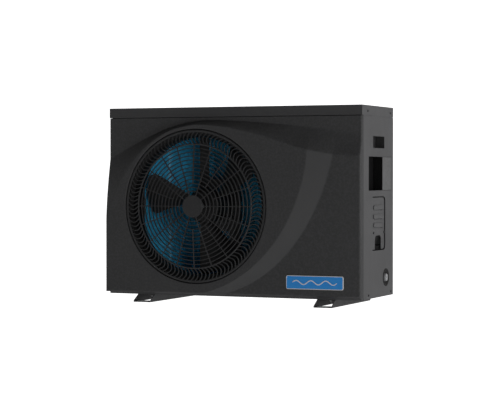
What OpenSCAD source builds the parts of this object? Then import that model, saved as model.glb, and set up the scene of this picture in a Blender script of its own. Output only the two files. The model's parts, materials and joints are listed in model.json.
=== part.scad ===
// Horizontal-discharge pool heat pump.
// Frame: +Z up, the fan blows towards -Y, the origin lies on the ground
// in the middle of the four anchor slots.

/* [Cabinet] */
// Width of the cabinet
cabinet_w = 920; // [900:5:1200]
// Height of the cabinet above the feet
cabinet_h = 635; // [620:5:780]
// Depth of the cabinet, front seam to rear sheet
cabinet_d = 315; // [305:5:400]
// Thickness of the steel sheets
sheet = 1.2; // [0.8:0.1:1.6]
// Height of the lid's folded skirt
lid_skirt = 33; // [25:1:45]
// Height of the base pan's rim
pan_rim = 34; // [28:1:36]
// Strip of the pan rim left in view under the front panel
pan_reveal = 8; // [4:1:15]
// Gap along a panel seam
seam = 1; // [0.6:0.1:2]
// Depth of the front panel's side return
panel_return = 14; // [8:1:20]

/* [Feet] */
// Height of the foot rails
foot_h = 25; // [18:1:45]
// Width of a foot rail
foot_w = 64; // [50:1:80]
// Distance between the two rails
foot_spacing = 656; // [560:2:700]
// How far the rails sit to the right of the cabinet's middle
foot_shift = 8; // [0:1:20]
// How far a rail reaches past the cabinet
foot_reach = 33; // [26:1:45]
// End-to-end length of an anchor slot
slot_l = 20; // [14:1:26]
// Width of an anchor slot
slot_w = 10; // [8:0.5:12]

/* [Front panel] */
// Wall of the moulded front panel
panel_t = 2.5; // [2:0.1:3.5]
// How far the fan field stands forward of the lid
fan_field = 31; // [20:1:40]
// How far the plain right field stands forward of the lid
side_field = 15.4; // [8:0.1:20]
// Rounding of the panel's outer edge
panel_edge = 6; // [3:0.5:8]
// Width of the nameplate
badge_w = 200; // [120:5:240]
// Height of the nameplate
badge_h = 40; // [25:1:50]

/* [Fan] */
// Fan axis, from the cabinet's left side
fan_inset = 336; // [320:1:350]
// Fan axis, above the underside of the pan
fan_rise = 302; // [290:1:320]
// Radius of the fan opening in the front panel
opening_r = 260; // [240:1:264]
// Gap round the grille
grille_gap = 3; // [2:0.5:6]
// Radius of the shroud's throat
throat_r = 232; // [220:1:236]
// Clearance between the blade tips and the throat
tip_gap = 10; // [5:0.5:16]
// Radius of the grille's hub disc
grille_hub_r = 37.5; // [30:0.5:45]
// Forward bulge of the grille
dome = 20; // [10:1:30]
// Number of rings in the grille
grille_rings = 13; // [8:1:16]
// Number of curved bars round the grille
grille_bars = 100; // [60:10:120]
// Radius of the fan's hub
fan_hub_r = 60; // [50:1:70]
// Length of the fan's hub
fan_hub_l = 48; // [40:1:56]
// Number of fan blades
blades = 3; // [3:1:5]
// Radius of the motor shaft
shaft_r = 6; // [5:0.5:8]
// Radius of the motor's housing
motor_r = 52; // [44:1:58]
// Length of the motor's housing
motor_l = 80; // [60:1:90]
// Radial running clearance of the shaft in its bearings
run_gap = 0.05; // [0.02:0.01:0.1]

/* [Evaporator coil] */
// Thickness of the finned coil
coil_t = 57; // [38:1:60]
// Inner corner radius of the coil's bend
coil_bend = 18; // [12:1:30]
// Gap between the coil and the rear sheet
coil_rear_gap = 12; // [8:1:20]
// Gap between the coil and the left sheet
coil_side_gap = 48; // [20:1:50]
// Number of return bends in a column
bend_rows = 12; // [6:1:13]

/* [Refrigerant circuit] */
// Radius of the compressor shell
comp_r = 55; // [45:1:60]
// Height of the compressor shell
comp_h = 255; // [200:5:270]
// Radius of the suction accumulator
accu_r = 30; // [22:1:32]
// Radius of the heat exchanger's shell
hx_r = 60; // [50:1:62]
// Height of the heat exchanger's shell
hx_h = 315; // [260:5:320]
// Outer radius of the thick copper lines
line_r = 6; // [4:0.5:8]

/* [Water unions] */
// Outside diameter of the pool pipe
pipe_d = 50; // [40:1:60]
// Wall of the pipe sockets
socket_wall = 4; // [3:0.5:5]
// Depth of the pipe sockets
socket_l = 38; // [30:1:50]
// Height of the lower union above the ground
union_low = 120; // [100:5:150]
// Height of the upper union above the ground
union_high = 310; // [260:5:315]

/* [Right side panel] */
// Width of the hand grip pocket
grip_w = 115; // [90:1:130]
// Height of the hand grip pocket
grip_h = 39; // [30:1:45]
// Depth of the hand grip pocket
grip_d = 32; // [24:1:34]
// Height of the access scoop and its plate
scoop_h = 112; // [90:1:125]
// Depth of the access scoop
scoop_d = 32; // [24:1:34]
// Width of the plate beside the scoop
plate_w = 87; // [70:1:90]
// Width of the wiring cover
cover_w = 134; // [110:1:145]
// Height of the wiring cover
cover_h = 172; // [140:1:180]
// Width of the cable arch in the wiring cover
arch_w = 64; // [40:1:70]
// Radius of the drain plug's dish
dish_r = 28; // [22:1:34]

/* [Hidden] */

left = -cabinet_w / 2 - foot_shift;
right = cabinet_w / 2 - foot_shift;
front = -cabinet_d / 2;
back = cabinet_d / 2;
base = foot_h;
top = base + cabinet_h;
lid_z = top - lid_skirt;
fit = 0.3;
round_fn = 96;
eps = 0.01;

charcoal = [0.19, 0.19, 0.2];
black = [0.07, 0.07, 0.075];
zinc = [0.72, 0.73, 0.72];
copper = [0.72, 0.42, 0.25];
pvc = [0.86, 0.87, 0.86];

fan_x = left + fan_inset;
fan_z = base + fan_rise;
grille_r = opening_r - grille_gap;
field_y = front - fan_field;
shroud_back = front + 38;
fan_front = shroud_back - 8;
fan_back = fan_front + 66;
blade_r = throat_r - tip_gap;
hub_front = fan_front + 4;
hub_back = hub_front + fan_hub_l;
motor_front = hub_back + 14;
motor_back = motor_front + motor_l;
bearing_r = 16;
elbow_wall = 0.8;
bearing_w = 9;
nut_len = 7;
stud_r = 4;

pan_floor = base + 1.5;
pan_left = left + sheet + fit;
pan_right = right - sheet - fit;
pan_front = front + fit;
pan_back = back - sheet - fit;
rail_xs = [-foot_spacing / 2, foot_spacing / 2];
rail_t = 2;
slot_y = cabinet_d / 2 + foot_reach - 15;
rail_bolt_y = cabinet_d / 2 - 47;

// A box given by its two corners.
module box(a, b) {
    translate(a) cube(b - a);
}

// A round bar along Y from y0 to y1.
module bar_y(x, z, y0, y1, r, fn = round_fn) {
    translate([x, y1, z]) rotate([90, 0, 0]) cylinder(r = r, h = y1 - y0, $fn = fn);
}

// A round bar along X from x0 to x1.
module bar_x(y, z, x0, x1, r, fn = round_fn) {
    translate([x0, y, z]) rotate([0, 90, 0]) cylinder(r = r, h = x1 - x0, $fn = fn);
}

// A round bar along Z from z0 to z1.
module bar_z(x, y, z0, z1, r, fn = round_fn) {
    translate([x, y, z0]) cylinder(r = r, h = z1 - z0, $fn = fn);
}

// Rectangle with round corners, by its corners.
module round_rect(a, b, r) {
    translate(a + [r, 0]) square([b[0] - a[0] - 2 * r, b[1] - a[1]]);
    translate(a + [0, r]) square([b[0] - a[0], b[1] - a[1] - 2 * r]);
    for (x = [a[0] + r, b[0] - r], y = [a[1] + r, b[1] - r])
        translate([x, y]) circle(r = r, $fn = 48);
}

// Turns a profile drawn as (radius, y) round an axis along Y.
module turned_y(x, z) {
    translate([x, 0, z]) rotate([90, 0, 0]) mirror([0, 0, 1]) rotate_extrude($fn = 180)
        children();
}

// A profile drawn as (y, z), extruded along X from x0 to x1.
module slab_x(x0, x1) {
    translate([x0, 0, 0]) rotate([90, 0, 90]) linear_extrude(x1 - x0) children();
}

// A profile drawn as (x, z), extruded along Y from y0 to y1.
module slab_y(y0, y1) {
    translate([0, y1, 0]) rotate([90, 0, 0]) linear_extrude(y1 - y0) children();
}

// A tube line through corner points, each stretch along one axis, with a
// slightly thicker fitting at each corner.
module line(points, r) {
    for (i = [0 : len(points) - 2]) {
        a = points[i];
        b = points[i + 1];
        lo = [min(a[0], b[0]), min(a[1], b[1]), min(a[2], b[2])];
        hi = [max(a[0], b[0]), max(a[1], b[1]), max(a[2], b[2])];
        if (hi[0] > lo[0]) bar_x(a[1], a[2], lo[0], hi[0], r, 48);
        if (hi[1] > lo[1]) bar_y(a[0], a[2], lo[1], hi[1], r, 48);
        if (hi[2] > lo[2]) bar_z(a[0], a[1], lo[2], hi[2], r, 48);
    }
    for (i = [1 : len(points) - 2])
        translate(points[i]) sphere(r = r + elbow_wall, $fn = 48);
}

// ---- Base and feet -------------------------------------------------------

comp_x = right - 222;
comp_y = front + 112;
comp_stud_r = comp_r + 10;
grommet_top = base + 18;
comp_plate_z = grommet_top;
comp_foot_angles = [90, 210, 330];
nipple_x = fan_x + 100;
nipple_y = back - 60;
nipple_r = 9;

// Tray with a low folded lip under the front panel.
module base_pan() {
    rim_y = front + panel_return + 1;
    lip_z = base + pan_reveal - seam;
    color(charcoal)
    difference() {
        union() {
            difference() {
                union() {
                    box([pan_left, pan_front, base], [pan_right, rim_y + sheet, lip_z]);
                    box([pan_left, rim_y, base], [pan_right, pan_back, base + pan_rim]);
                }
                box([pan_left + sheet, pan_front + sheet, base - 1],
                    [pan_right - sheet, rim_y, lip_z - sheet]);
                box([pan_left + sheet, rim_y + sheet, pan_floor],
                    [pan_right - sheet, pan_back - sheet, base + pan_rim + 1]);
            }
            for (x = [coil_left + 60, fan_x, coil_right - 40])
                box([x - 20, coil_front + 5, pan_floor - eps],
                    [x + 20, coil_back - 5, coil_z0]);
        }
        for (x = rail_xs, y = [-rail_bolt_y, rail_bolt_y])
            bar_z(x, y, base - 1, pan_floor + 8, stud_r + fit, 48);
        for (a = comp_foot_angles)
            bar_z(comp_x + comp_stud_r * cos(a), comp_y + comp_stud_r * sin(a),
                base - 1, pan_floor + 1, stud_r - 1 + fit, 48);
        bar_z(nipple_x, nipple_y, base - 1, pan_floor + 1, nipple_r + fit, 48);
        side_screw_holes(left - 1, right + 1, base_screws);
    }
}

module slot2d() {
    square([slot_l - slot_w, slot_w], center = true);
    for (s = [-1, 1]) translate([s * (slot_l - slot_w) / 2, 0])
        circle(r = slot_w / 2, $fn = 48);
}

module foot_rail(x) {
    reach = cabinet_d / 2 + foot_reach;
    color(charcoal)
    difference() {
        union() {
            for (s = [-1, 1]) {
                x0 = s < 0 ? x - foot_w / 2 : x + foot_w / 2 - rail_t;
                slab_x(x0, x0 + rail_t) polygon([[-reach, 0], [reach, 0], [reach, 5],
                    [cabinet_d / 2 - 2, foot_h], [-cabinet_d / 2 + 2, foot_h], [-reach, 5]]);
                box([x - foot_w / 2, s < 0 ? -reach : reach - 45, 0],
                    [x + foot_w / 2, s < 0 ? -reach + 45 : reach, rail_t]);
            }
            box([x - foot_w / 2, -cabinet_d / 2 + 2, foot_h - rail_t],
                [x + foot_w / 2, cabinet_d / 2 - 2, foot_h]);
        }
        for (y = [-slot_y, slot_y])
            translate([x, y, -1]) linear_extrude(rail_t + 2) slot2d();
        for (y = [-rail_bolt_y, rail_bolt_y])
            bar_z(x, y, foot_h - rail_t - 1, foot_h + 1, stud_r + fit, 48);
    }
}

module foot_rail_left() {
    foot_rail(rail_xs[0]);
}

module foot_rail_right() {
    foot_rail(rail_xs[1]);
}

// Zinc plates that stiffen the four anchor slots.
module slot_plates() {
    color(zinc)
    for (x = rail_xs, y = [-slot_y, slot_y])
        translate([x, y, rail_t]) difference() {
            translate([-19, -12, 0]) cube([38, 24, 2]);
            translate([0, 0, -1]) linear_extrude(4) slot2d();
        }
}

module rail_bolts() {
    color(zinc)
    for (x = rail_xs, y = [-rail_bolt_y, rail_bolt_y]) {
        bar_z(x, y, pan_floor, pan_floor + 5, 6.5, 6);
        bar_z(x, y, foot_h - 12, pan_floor + eps, stud_r, 48);
    }
}

module rail_nuts() {
    color(zinc)
    for (x = rail_xs, y = [-rail_bolt_y, rail_bolt_y])
        difference() {
            bar_z(x, y, foot_h - rail_t - 6, foot_h - rail_t, 6.5, 6);
            bar_z(x, y, foot_h - 15, foot_h, stud_r + 0.02, 48);
        }
}

// Barbed nipple that lets the condensate out under the pan.
module condensate_nipple() {
    color(black)
    difference() {
        union() {
            bar_z(nipple_x, nipple_y, 7, pan_floor, nipple_r);
            bar_z(nipple_x, nipple_y, pan_floor, pan_floor + 2, nipple_r + 7);
            bar_z(nipple_x, nipple_y, base - 2, base, nipple_r + 7);
        }
        bar_z(nipple_x, nipple_y, 6, pan_floor + 3, nipple_r - 2);
    }
}

// ---- Front panel ---------------------------------------------------------

panel_z0 = base + pan_reveal;
panel_z1 = lid_z - seam;
side_steps = 12;
top_steps = 20;
loop_n = 2 * (side_steps + top_steps);
skin_steps = 11;

// Height of the line where the sloped shoulder starts, above the fan axis.
function shoulder_top(u) =
    u < 44 ? 157 + 132 * sin(90 * (u + 336) / 380) : 289 - 81 * pow((u - 44) / 536, 1.5);

// Height of the crest that bounds the raised fan field, above the fan axis.
function crest(u) =
    u < 9 ? 491 * sqrt(max(0, 1 - pow((9 - u) / 360, 2))) - 218
    : 168 + 104 * (0.5 + 0.5 * cos(min(180, 180 * (u - 9) / 560)));

// Left and right edges of the sloping band right of the fan, from the axis.
function band_left(v) = -66 + 472 * sqrt(max(0, 1 - pow((238 - v) / 540, 2)));
function band_right(v) = 15 + 489 * sqrt(max(0, 1 - pow((338 - v) / 640, 2)));

function clamp01(t) = min(1, max(0, t));
function smooth(t) = let (c = clamp01(t)) c * c * (3 - 2 * c);

// Forward relief of the panel at u right of and v above the fan axis.
function relief(u, v) =
    let (hi = shoulder_top(u), lo = min(crest(u), hi - 14),
        rise = smooth((hi - v) / (hi - lo)),
        side = clamp01((u - band_left(v)) / (band_right(v) - band_left(v))))
    rise * (fan_field + (side_field - fan_field) * side);

// Point number i of the panel's outline, counted from its lower left corner.
function outline(i) =
    i < side_steps ? [left, panel_z0 + (panel_z1 - panel_z0) * i / side_steps]
    : i < side_steps + top_steps ?
        [left + cabinet_w * (i - side_steps) / top_steps, panel_z1]
    : i < 2 * side_steps + top_steps ?
        [right, panel_z1 - (panel_z1 - panel_z0) * (i - side_steps - top_steps) / side_steps]
    : [right - cabinet_w * (i - 2 * side_steps - top_steps) / top_steps, panel_z0];

// The outline point pulled in by d from the panel's edges.
function inset(p, d) =
    [min(right - d, max(left + d, p[0])), min(panel_z1 - d, max(panel_z0 + d, p[1]))];

// The point of the fan opening that faces outline point p, at radius r.
function rim(p, r) =
    let (d = p - [fan_x, fan_z]) [fan_x, fan_z] + d * (r / norm(d));

function face_y(p) = front - relief(p[0] - fan_x, p[1] - fan_z);
function at(p, y) = [p[0], y, p[1]];

// One closed cross-section of the panel's wall, through outline point i.
function wall_section(i) =
    let (p = outline(i), e = inset(p, panel_edge), r0 = opening_r,
        m = inset(p, panel_edge * 0.3), w = inset(p, panel_t),
        back_y = front + panel_return)
    concat(
        [at(rim(p, r0), front - 1)],
        [for (k = [0 : skin_steps]) let (q = rim(p, r0) + (e - rim(p, r0)) * k / skin_steps)
            at(q, face_y(q))],
        [at(m, face_y(e) + panel_edge * 0.3), at(p, face_y(e) + panel_edge), at(p, back_y),
            at(w, back_y), at(w, face_y(e) + panel_edge + panel_t)],
        [for (k = [skin_steps : -1 : 0])
            let (a = rim(p, r0 + panel_t), b = inset(p, panel_edge + panel_t / 2),
                q = a + (b - a) * k / skin_steps)
            at(q, face_y(q) + panel_t)],
        [at(rim(p, r0 + panel_t), front - 1)]);

module front_panel() {
    sections = [for (i = [0 : loop_n - 1]) wall_section(i)];
    n = len(sections[0]);
    color(charcoal)
    polyhedron(
        points = [for (s = sections) each s],
        faces = [for (i = [0 : loop_n - 1], j = [0 : n - 1])
            let (a = i * n + j, b = i * n + (j + 1) % n,
                c = ((i + 1) % loop_n) * n + (j + 1) % n, d = ((i + 1) % loop_n) * n + j)
            each [[a, b, c], [a, c, d]]],
        convexity = 6);
}

badge_x = right - 158;
badge_z = base + 55;

// Plain nameplate with a generic wave line.
module badge() {
    y1 = front - side_field - 0.2;
    color([0.05, 0.3, 0.6]) slab_y(y1 - 2, y1)
        round_rect([badge_x - badge_w / 2, badge_z - badge_h / 2],
            [badge_x + badge_w / 2, badge_z + badge_h / 2], 6);
    color("white") for (s = [-1, 1])
        translate([badge_x + s * 20, y1 - 1.9, badge_z]) rotate([90, 0, 0])
            linear_extrude(1) intersection() {
                difference() {
                    circle(r = 22.5, $fn = 96);
                    circle(r = 17.5, $fn = 96);
                }
                translate([-30, s > 0 ? -30 : 0]) square([60, 30]);
            }
}

// ---- Fan, grille and motor -----------------------------------------------

grille_t = 5;
grille_wire = 3;
inner_band_r = grille_hub_r + (throat_r - 24 - grille_hub_r);
ring_pitch = (inner_band_r - grille_hub_r) / grille_rings;
dome_r = (grille_r * grille_r + dome * dome) / (2 * dome);
grille_rim_y = field_y + 3;

module ring2d(r, w) {
    difference() {
        circle(r = r + w / 2, $fn = 180);
        circle(r = r - w / 2, $fn = 180);
    }
}

// One bar of the outer band, bowed round the axis.
module bowed_bar2d() {
    r1 = grille_r - 6;
    step = (r1 - inner_band_r) / 4;
    function edge(i, s) =
        let (r = inner_band_r + step * i,
            a = 5 * sin(45 * i) + s * 90 * grille_wire / (PI * r))
        [r * cos(a), r * sin(a)];
    polygon(concat([for (i = [0 : 4]) edge(i, -1)], [for (i = [4 : -1 : 0]) edge(i, 1)]));
}

module grille_pattern() {
    short_start = 0.3 * grille_r;
    circle(r = grille_hub_r, $fn = 90);
    for (i = [1 : grille_rings - 1]) ring2d(grille_hub_r + i * ring_pitch, grille_wire);
    ring2d(inner_band_r, 5);
    ring2d(grille_r - 4, 8);
    for (i = [0 : 9]) {
        rotate(36 * i) translate([grille_hub_r - 1, -grille_wire / 2])
            square([inner_band_r - grille_hub_r + 1, grille_wire]);
        rotate(36 * i + 18) translate([short_start, -grille_wire / 2])
            square([inner_band_r - short_start, grille_wire]);
    }
    for (i = [0 : grille_bars - 1]) rotate(i * 360 / grille_bars) bowed_bar2d();
}

module fan_grille() {
    color(black)
    translate([fan_x, grille_rim_y, fan_z]) rotate([90, 0, 0])
    intersection() {
        translate([0, 0, -grille_t - 1]) linear_extrude(dome + grille_t + 2)
            grille_pattern();
        translate([0, 0, dome - dome_r]) rotate_extrude($fn = 180) intersection() {
            difference() {
                circle(r = dome_r, $fn = 1440);
                circle(r = dome_r - grille_t, $fn = 1440);
            }
            translate([0, dome_r - dome - 2 * grille_t])
                square([grille_r + 1, dome + 3 * grille_t]);
        }
    }
}

// Bell-mouth that guides the air through the blades' circle.
module fan_shroud() {
    lip = grille_rim_y + grille_t + 1;
    outer = opening_r - 2;
    wall = 2;
    color(black)
    turned_y(fan_x, fan_z) polygon([
        [outer, lip], [throat_r + 14, lip + 2], [throat_r + 5, lip + 9],
        [throat_r, lip + 20], [throat_r, shroud_back], [throat_r + wall, shroud_back],
        [throat_r + wall, front + 3 + wall], [opening_r + 22, front + 3 + wall],
        [opening_r + 22, front + 3], [throat_r + wall, front + 3],
        [throat_r + wall, lip + 21], [throat_r + 7, lip + 11],
        [throat_r + 15, lip + 4], [outer, lip + 2]]);
}

blade_steps_r = 9;
blade_steps_c = 6;
blade_root_r = fan_hub_r - 4;
blade_t = 3;

// Angle and depth of a blade's skin at radius r and chord share c.
function blade_angle(r, c) =
    let (s = (r - blade_root_r) / (blade_r - blade_root_r),
        a0 = 25 + 3 * s, a1 = 54 + 16 * pow(s, 0.8))
    a0 + (a1 - a0) * c;
function blade_y(r, c) =
    let (s = (r - blade_root_r) / (blade_r - blade_root_r),
        y0 = fan_front + 14 - 14 * s, y1 = hub_back - 6 + (fan_back - hub_back + 6) * s)
    y0 + (y1 - y0) * c - 6 * sin(180 * c);

function blade_point(r, c, side) =
    let (a = blade_angle(r, c), edge = min(1, 5 * min(c, 1 - c) + 0.3))
    [r * cos(a), blade_y(r, c) + side * edge * blade_t / 2, r * sin(a)];

module fan_blade() {
    rows = blade_steps_r + 1;
    cols = blade_steps_c + 1;
    half = rows * cols;
    function idx(side, j, i) = side * half + j * cols + i;
    points = [for (side = [-1, 1], j = [0 : blade_steps_r], i = [0 : blade_steps_c])
        blade_point(blade_root_r + (blade_r - blade_root_r) * j / blade_steps_r,
            i / blade_steps_c, side)];
    skins = [for (side = [0, 1], j = [0 : rows - 2], i = [0 : cols - 2])
        let (a = idx(side, j, i), b = idx(side, j, i + 1), c = idx(side, j + 1, i + 1),
            d = idx(side, j + 1, i))
        each side == 0 ? [[a, b, c], [a, c, d]] : [[a, c, b], [a, d, c]]];
    ends = [for (i = [0 : cols - 2], j = [0, rows - 1])
        let (a = idx(0, j, i), b = idx(0, j, i + 1), c = idx(1, j, i + 1), d = idx(1, j, i))
        each j == 0 ? [[a, c, b], [a, d, c]] : [[a, b, c], [a, c, d]]];
    edges = [for (j = [0 : rows - 2], i = [0, cols - 1])
        let (a = idx(0, j, i), b = idx(0, j + 1, i), c = idx(1, j + 1, i), d = idx(1, j, i))
        each i == 0 ? [[a, b, c], [a, c, d]] : [[a, c, b], [a, d, c]]];
    polyhedron(points = points, faces = concat(skins, ends, edges), convexity = 4);
}

module fan() {
    color(black) {
        turned_y(fan_x, fan_z) polygon([[shaft_r + 0.02, hub_front],
            [fan_hub_r - 12, hub_front], [fan_hub_r - 3, hub_front + 4],
            [fan_hub_r, hub_front + 14], [fan_hub_r, hub_back],
            [fan_hub_r - 3, hub_back], [fan_hub_r - 3, hub_front + 15],
            [fan_hub_r - 14, hub_front + 4], [20, hub_front + 4], [16, hub_back - 6],
            [shaft_r + 0.02, hub_back - 6]]);
        for (i = [0 : blades - 1]) intersection() {
            translate([fan_x, 0, fan_z]) rotate([0, -i * 360 / blades, 0]) fan_blade();
            turned_y(fan_x, fan_z) translate([fan_hub_r - 1.5, fan_front - 30])
                square([blade_r - fan_hub_r + 1.5, fan_back - fan_front + 60]);
        }
    }
}

module fan_nut() {
    color(zinc)
    difference() {
        bar_y(fan_x, fan_z, hub_front - nut_len, hub_front, 10, 6);
        bar_y(fan_x, fan_z, hub_front - nut_len - 1, hub_front + 1, shaft_r + 0.02);
    }
}

module motor_shaft() {
    color(zinc) bar_y(fan_x, fan_z, hub_front - nut_len - 4, motor_back - 3, shaft_r);
}

rotor_front = motor_front + 18;
rotor_back = motor_back - 20;

module motor_rotor() {
    color(zinc)
    difference() {
        bar_y(fan_x, fan_z, rotor_front, rotor_back, motor_r * 0.5);
        bar_y(fan_x, fan_z, rotor_front - 1, rotor_back + 1, shaft_r + 0.02);
    }
}

module motor_stator() {
    color(copper)
    difference() {
        bar_y(fan_x, fan_z, rotor_front, rotor_back, motor_r - 4.2);
        bar_y(fan_x, fan_z, rotor_front - 1, rotor_back + 1, motor_r * 0.5 + 1);
    }
}

module motor_bearings() {
    color(zinc)
    for (y = [motor_front + 2, motor_back - 2 - bearing_w])
        difference() {
            bar_y(fan_x, fan_z, y, y + bearing_w, bearing_r);
            bar_y(fan_x, fan_z, y - 1, y + bearing_w + 1, shaft_r + run_gap);
        }
}

lug_r = motor_r + 10;

module fan_motor() {
    color(charcoal)
    difference() {
        union() {
            bar_y(fan_x, fan_z, motor_front, motor_back, motor_r);
            for (a = [45 : 90 : 315])
                bar_y(fan_x + lug_r * cos(a), fan_z + lug_r * sin(a),
                    motor_back - 6, motor_back, 9, 48);
            bar_y(fan_x, fan_z, motor_back - 6, motor_back, lug_r);
        }
        bar_y(fan_x, fan_z, rotor_front - 5, rotor_back + 5, motor_r - 4);
        for (y = [motor_front + 2, motor_back - 2 - bearing_w])
            bar_y(fan_x, fan_z, y, y + bearing_w, bearing_r + 0.02);
        bar_y(fan_x, fan_z, motor_front - 1, rotor_front, bearing_r - 5);
        bar_y(fan_x, fan_z, rotor_back, motor_back - 2, bearing_r - 5);
        for (a = [45 : 90 : 315])
            bar_y(fan_x + lug_r * cos(a), fan_z + lug_r * sin(a),
                motor_back - 7, motor_back + 1, 3 + fit, 48);
    }
}

bracket_w = 150;

// Pressed upright that carries the motor between the pan and the lid.
module motor_bracket() {
    y0 = motor_back + 0.2;
    z1 = top - sheet - 2;
    color(zinc)
    difference() {
        union() {
            box([fan_x - bracket_w / 2, y0, pan_floor], [fan_x + bracket_w / 2, y0 + 2, z1]);
            for (s = [-1, 1]) {
                x = fan_x + s * (bracket_w / 2 - 1);
                box([x - 1, y0, pan_floor], [x + 1, y0 + 16, z1]);
            }
            box([fan_x - bracket_w / 2, y0, pan_floor],
                [fan_x + bracket_w / 2, y0 + 24, pan_floor + 2]);
            box([fan_x - bracket_w / 2, y0, z1 - 2], [fan_x + bracket_w / 2, y0 + 24, z1]);
        }
        for (a = [45 : 90 : 315])
            bar_y(fan_x + lug_r * cos(a), fan_z + lug_r * sin(a), y0 - 1, y0 + 3,
                3 + fit, 48);
        for (s = [-1, 1])
            slab_y(y0 - 1, y0 + 3) round_rect(
                [fan_x - 40, fan_z + (s > 0 ? 90 : -250)],
                [fan_x + 40, fan_z + (s > 0 ? 250 : -90)], 12);
    }
}

module motor_screws() {
    y0 = motor_back + 0.2;
    color(zinc)
    for (a = [45 : 90 : 315]) {
        x = fan_x + lug_r * cos(a);
        z = fan_z + lug_r * sin(a);
        bar_y(x, z, y0 + 2, y0 + 6, 6, 6);
        bar_y(x, z, motor_back - 8, y0 + 2 + eps, 3, 48);
    }
}

// ---- Evaporator coil -----------------------------------------------------

coil_z0 = pan_floor + 7;
coil_z1 = top - 40;
coil_back = back - coil_rear_gap;
coil_front = coil_back - coil_t;
coil_left = left + coil_side_gap;
coil_right = fan_x + 284;
coil_leg_y = front + 52;

// Outline of the L-shaped fin pack, seen from above.
module coil2d() {
    outer_bend = coil_bend + coil_t;
    translate([coil_left, coil_leg_y])
        square([coil_t, coil_back - outer_bend - coil_leg_y]);
    translate([coil_left + outer_bend, coil_front])
        square([coil_right - coil_left - outer_bend, coil_t]);
    translate([coil_left + outer_bend, coil_back - outer_bend]) intersection() {
        difference() {
            circle(r = outer_bend, $fn = 96);
            circle(r = coil_bend, $fn = 96);
        }
        translate([-outer_bend - 1, 0]) square(outer_bend + 1);
    }
}

module evaporator_fins() {
    color([0.1, 0.4, 0.62])
    translate([0, 0, coil_z0]) linear_extrude(coil_z1 - coil_z0) coil2d();
}

plate_t = 1.5;

module coil_end_plates() {
    color(zinc) {
        box([coil_left - 4, coil_leg_y - plate_t, coil_z0],
            [coil_left + coil_t + 4, coil_leg_y, coil_z1]);
        box([coil_right, coil_front - 4, coil_z0],
            [coil_right + plate_t, coil_back + 4, coil_z1]);
    }
}

bend_tube_r = 4.5;
bend_r = 12;
bend_pitch = (coil_z1 - coil_z0) / (bend_rows + 0.5);

// One half-turn of tube that stands out of an end plate along +X.
module return_bend() {
    rotate([90, 0, 0]) rotate([0, 0, -90]) rotate_extrude(angle = 180, $fn = 48)
        translate([bend_r, 0]) circle(r = bend_tube_r, $fn = 24);
}

module coil_return_bends() {
    color(copper)
    for (k = [0 : bend_rows - 1], s = [0.28, 0.72]) {
        z = coil_z0 + bend_pitch * (k + 0.75);
        translate([coil_right + plate_t, coil_front + coil_t * s, z]) return_bend();
        translate([coil_left + coil_t * s, coil_leg_y - plate_t, z]) rotate([0, 0, -90])
            return_bend();
    }
}

header_r = 8;
header_x = coil_right + plate_t + bend_r + bend_tube_r + 10;
gas_header_y = coil_back - 18;
liquid_header_y = coil_front + 14;

module coil_headers() {
    color(copper) {
        bar_z(header_x, gas_header_y, coil_z0 + 30, coil_z1 - 25, header_r, 48);
        bar_z(header_x, liquid_header_y, coil_z0 + 30, coil_z1 - 60, line_r, 48);
    }
}

partition_x = coil_right + plate_t + 2;

// Sheet wall between the fan chamber and the compressor chamber.
module partition() {
    flange = 6;
    y0 = front + panel_return + 4;
    z0 = pan_floor + 0.2;
    z1 = top - sheet - 2;
    color(zinc)
    difference() {
        union() {
            box([partition_x, y0, z0], [partition_x + sheet, coil_front - 5, z1]);
            box([partition_x, y0, z0], [partition_x + flange, y0 + sheet, z1]);
            box([partition_x, y0, z0], [partition_x + flange, coil_front - 5, z0 + sheet]);
        }
        bar_x(front + 60, base + 560, partition_x - 1, partition_x + sheet + 1, 12, 48);
    }
}

// ---- Refrigerant circuit -------------------------------------------------

comp_z0 = comp_plate_z + 4;
comp_z1 = comp_z0 + comp_h;
accu_x = comp_x + comp_r + accu_r + 6;
accu_y = comp_y - 14;
accu_z0 = comp_z0 + 34;
accu_z1 = accu_z0 + 190;
hx_x = right - 15 - hx_r;
hx_y = back - sheet - 5 - hx_r;
hx_z0 = base + 17;
hx_z1 = hx_z0 + hx_h;
hx_wall = 5;

// A vertical shell with dished ends, as (radius, height) from z0 to z1.
module dished_shell(x, y, z0, z1, r, dish) {
    translate([x, y, z0]) rotate_extrude($fn = 96) polygon([[0, 0], [r * 0.45, 0],
        [r * 0.8, dish * 0.3], [r * 0.95, dish * 0.65], [r, dish],
        [r, z1 - z0 - dish], [r * 0.95, z1 - z0 - dish * 0.65],
        [r * 0.8, z1 - z0 - dish * 0.3], [r * 0.45, z1 - z0], [0, z1 - z0]]);
}

function comp_foot(a) = [comp_x + comp_stud_r * cos(a), comp_y + comp_stud_r * sin(a)];

// Hermetic shell on three feet, with the terminal cover on its front.
module compressor() {
    terminal_w = 40;
    color(black)
    difference() {
        union() {
            dished_shell(comp_x, comp_y, comp_z0, comp_z1, comp_r, 24);
            bar_z(comp_x, comp_y, comp_plate_z, comp_z0 + 1, comp_r * 0.8);
            for (a = comp_foot_angles) {
                p = comp_foot(a);
                bar_z(p[0], p[1], comp_plate_z, comp_plate_z + 4, 13, 48);
                translate([comp_x, comp_y, comp_plate_z]) rotate(a)
                    translate([0, -11, 0]) cube([comp_stud_r, 22, 3]);
            }
            bar_z(comp_x, comp_y, comp_z1 - 1, comp_z1 + 6, 8, 48);
            box([comp_x - terminal_w / 2, comp_y - comp_r - 9, comp_z1 - 84],
                [comp_x + terminal_w / 2, comp_y - comp_r + 16, comp_z1 - 38]);
        }
        for (a = comp_foot_angles)
            bar_z(comp_foot(a)[0], comp_foot(a)[1], comp_plate_z - 1, comp_plate_z + 5,
                stud_r - 1 + fit, 48);
    }
}

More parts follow.
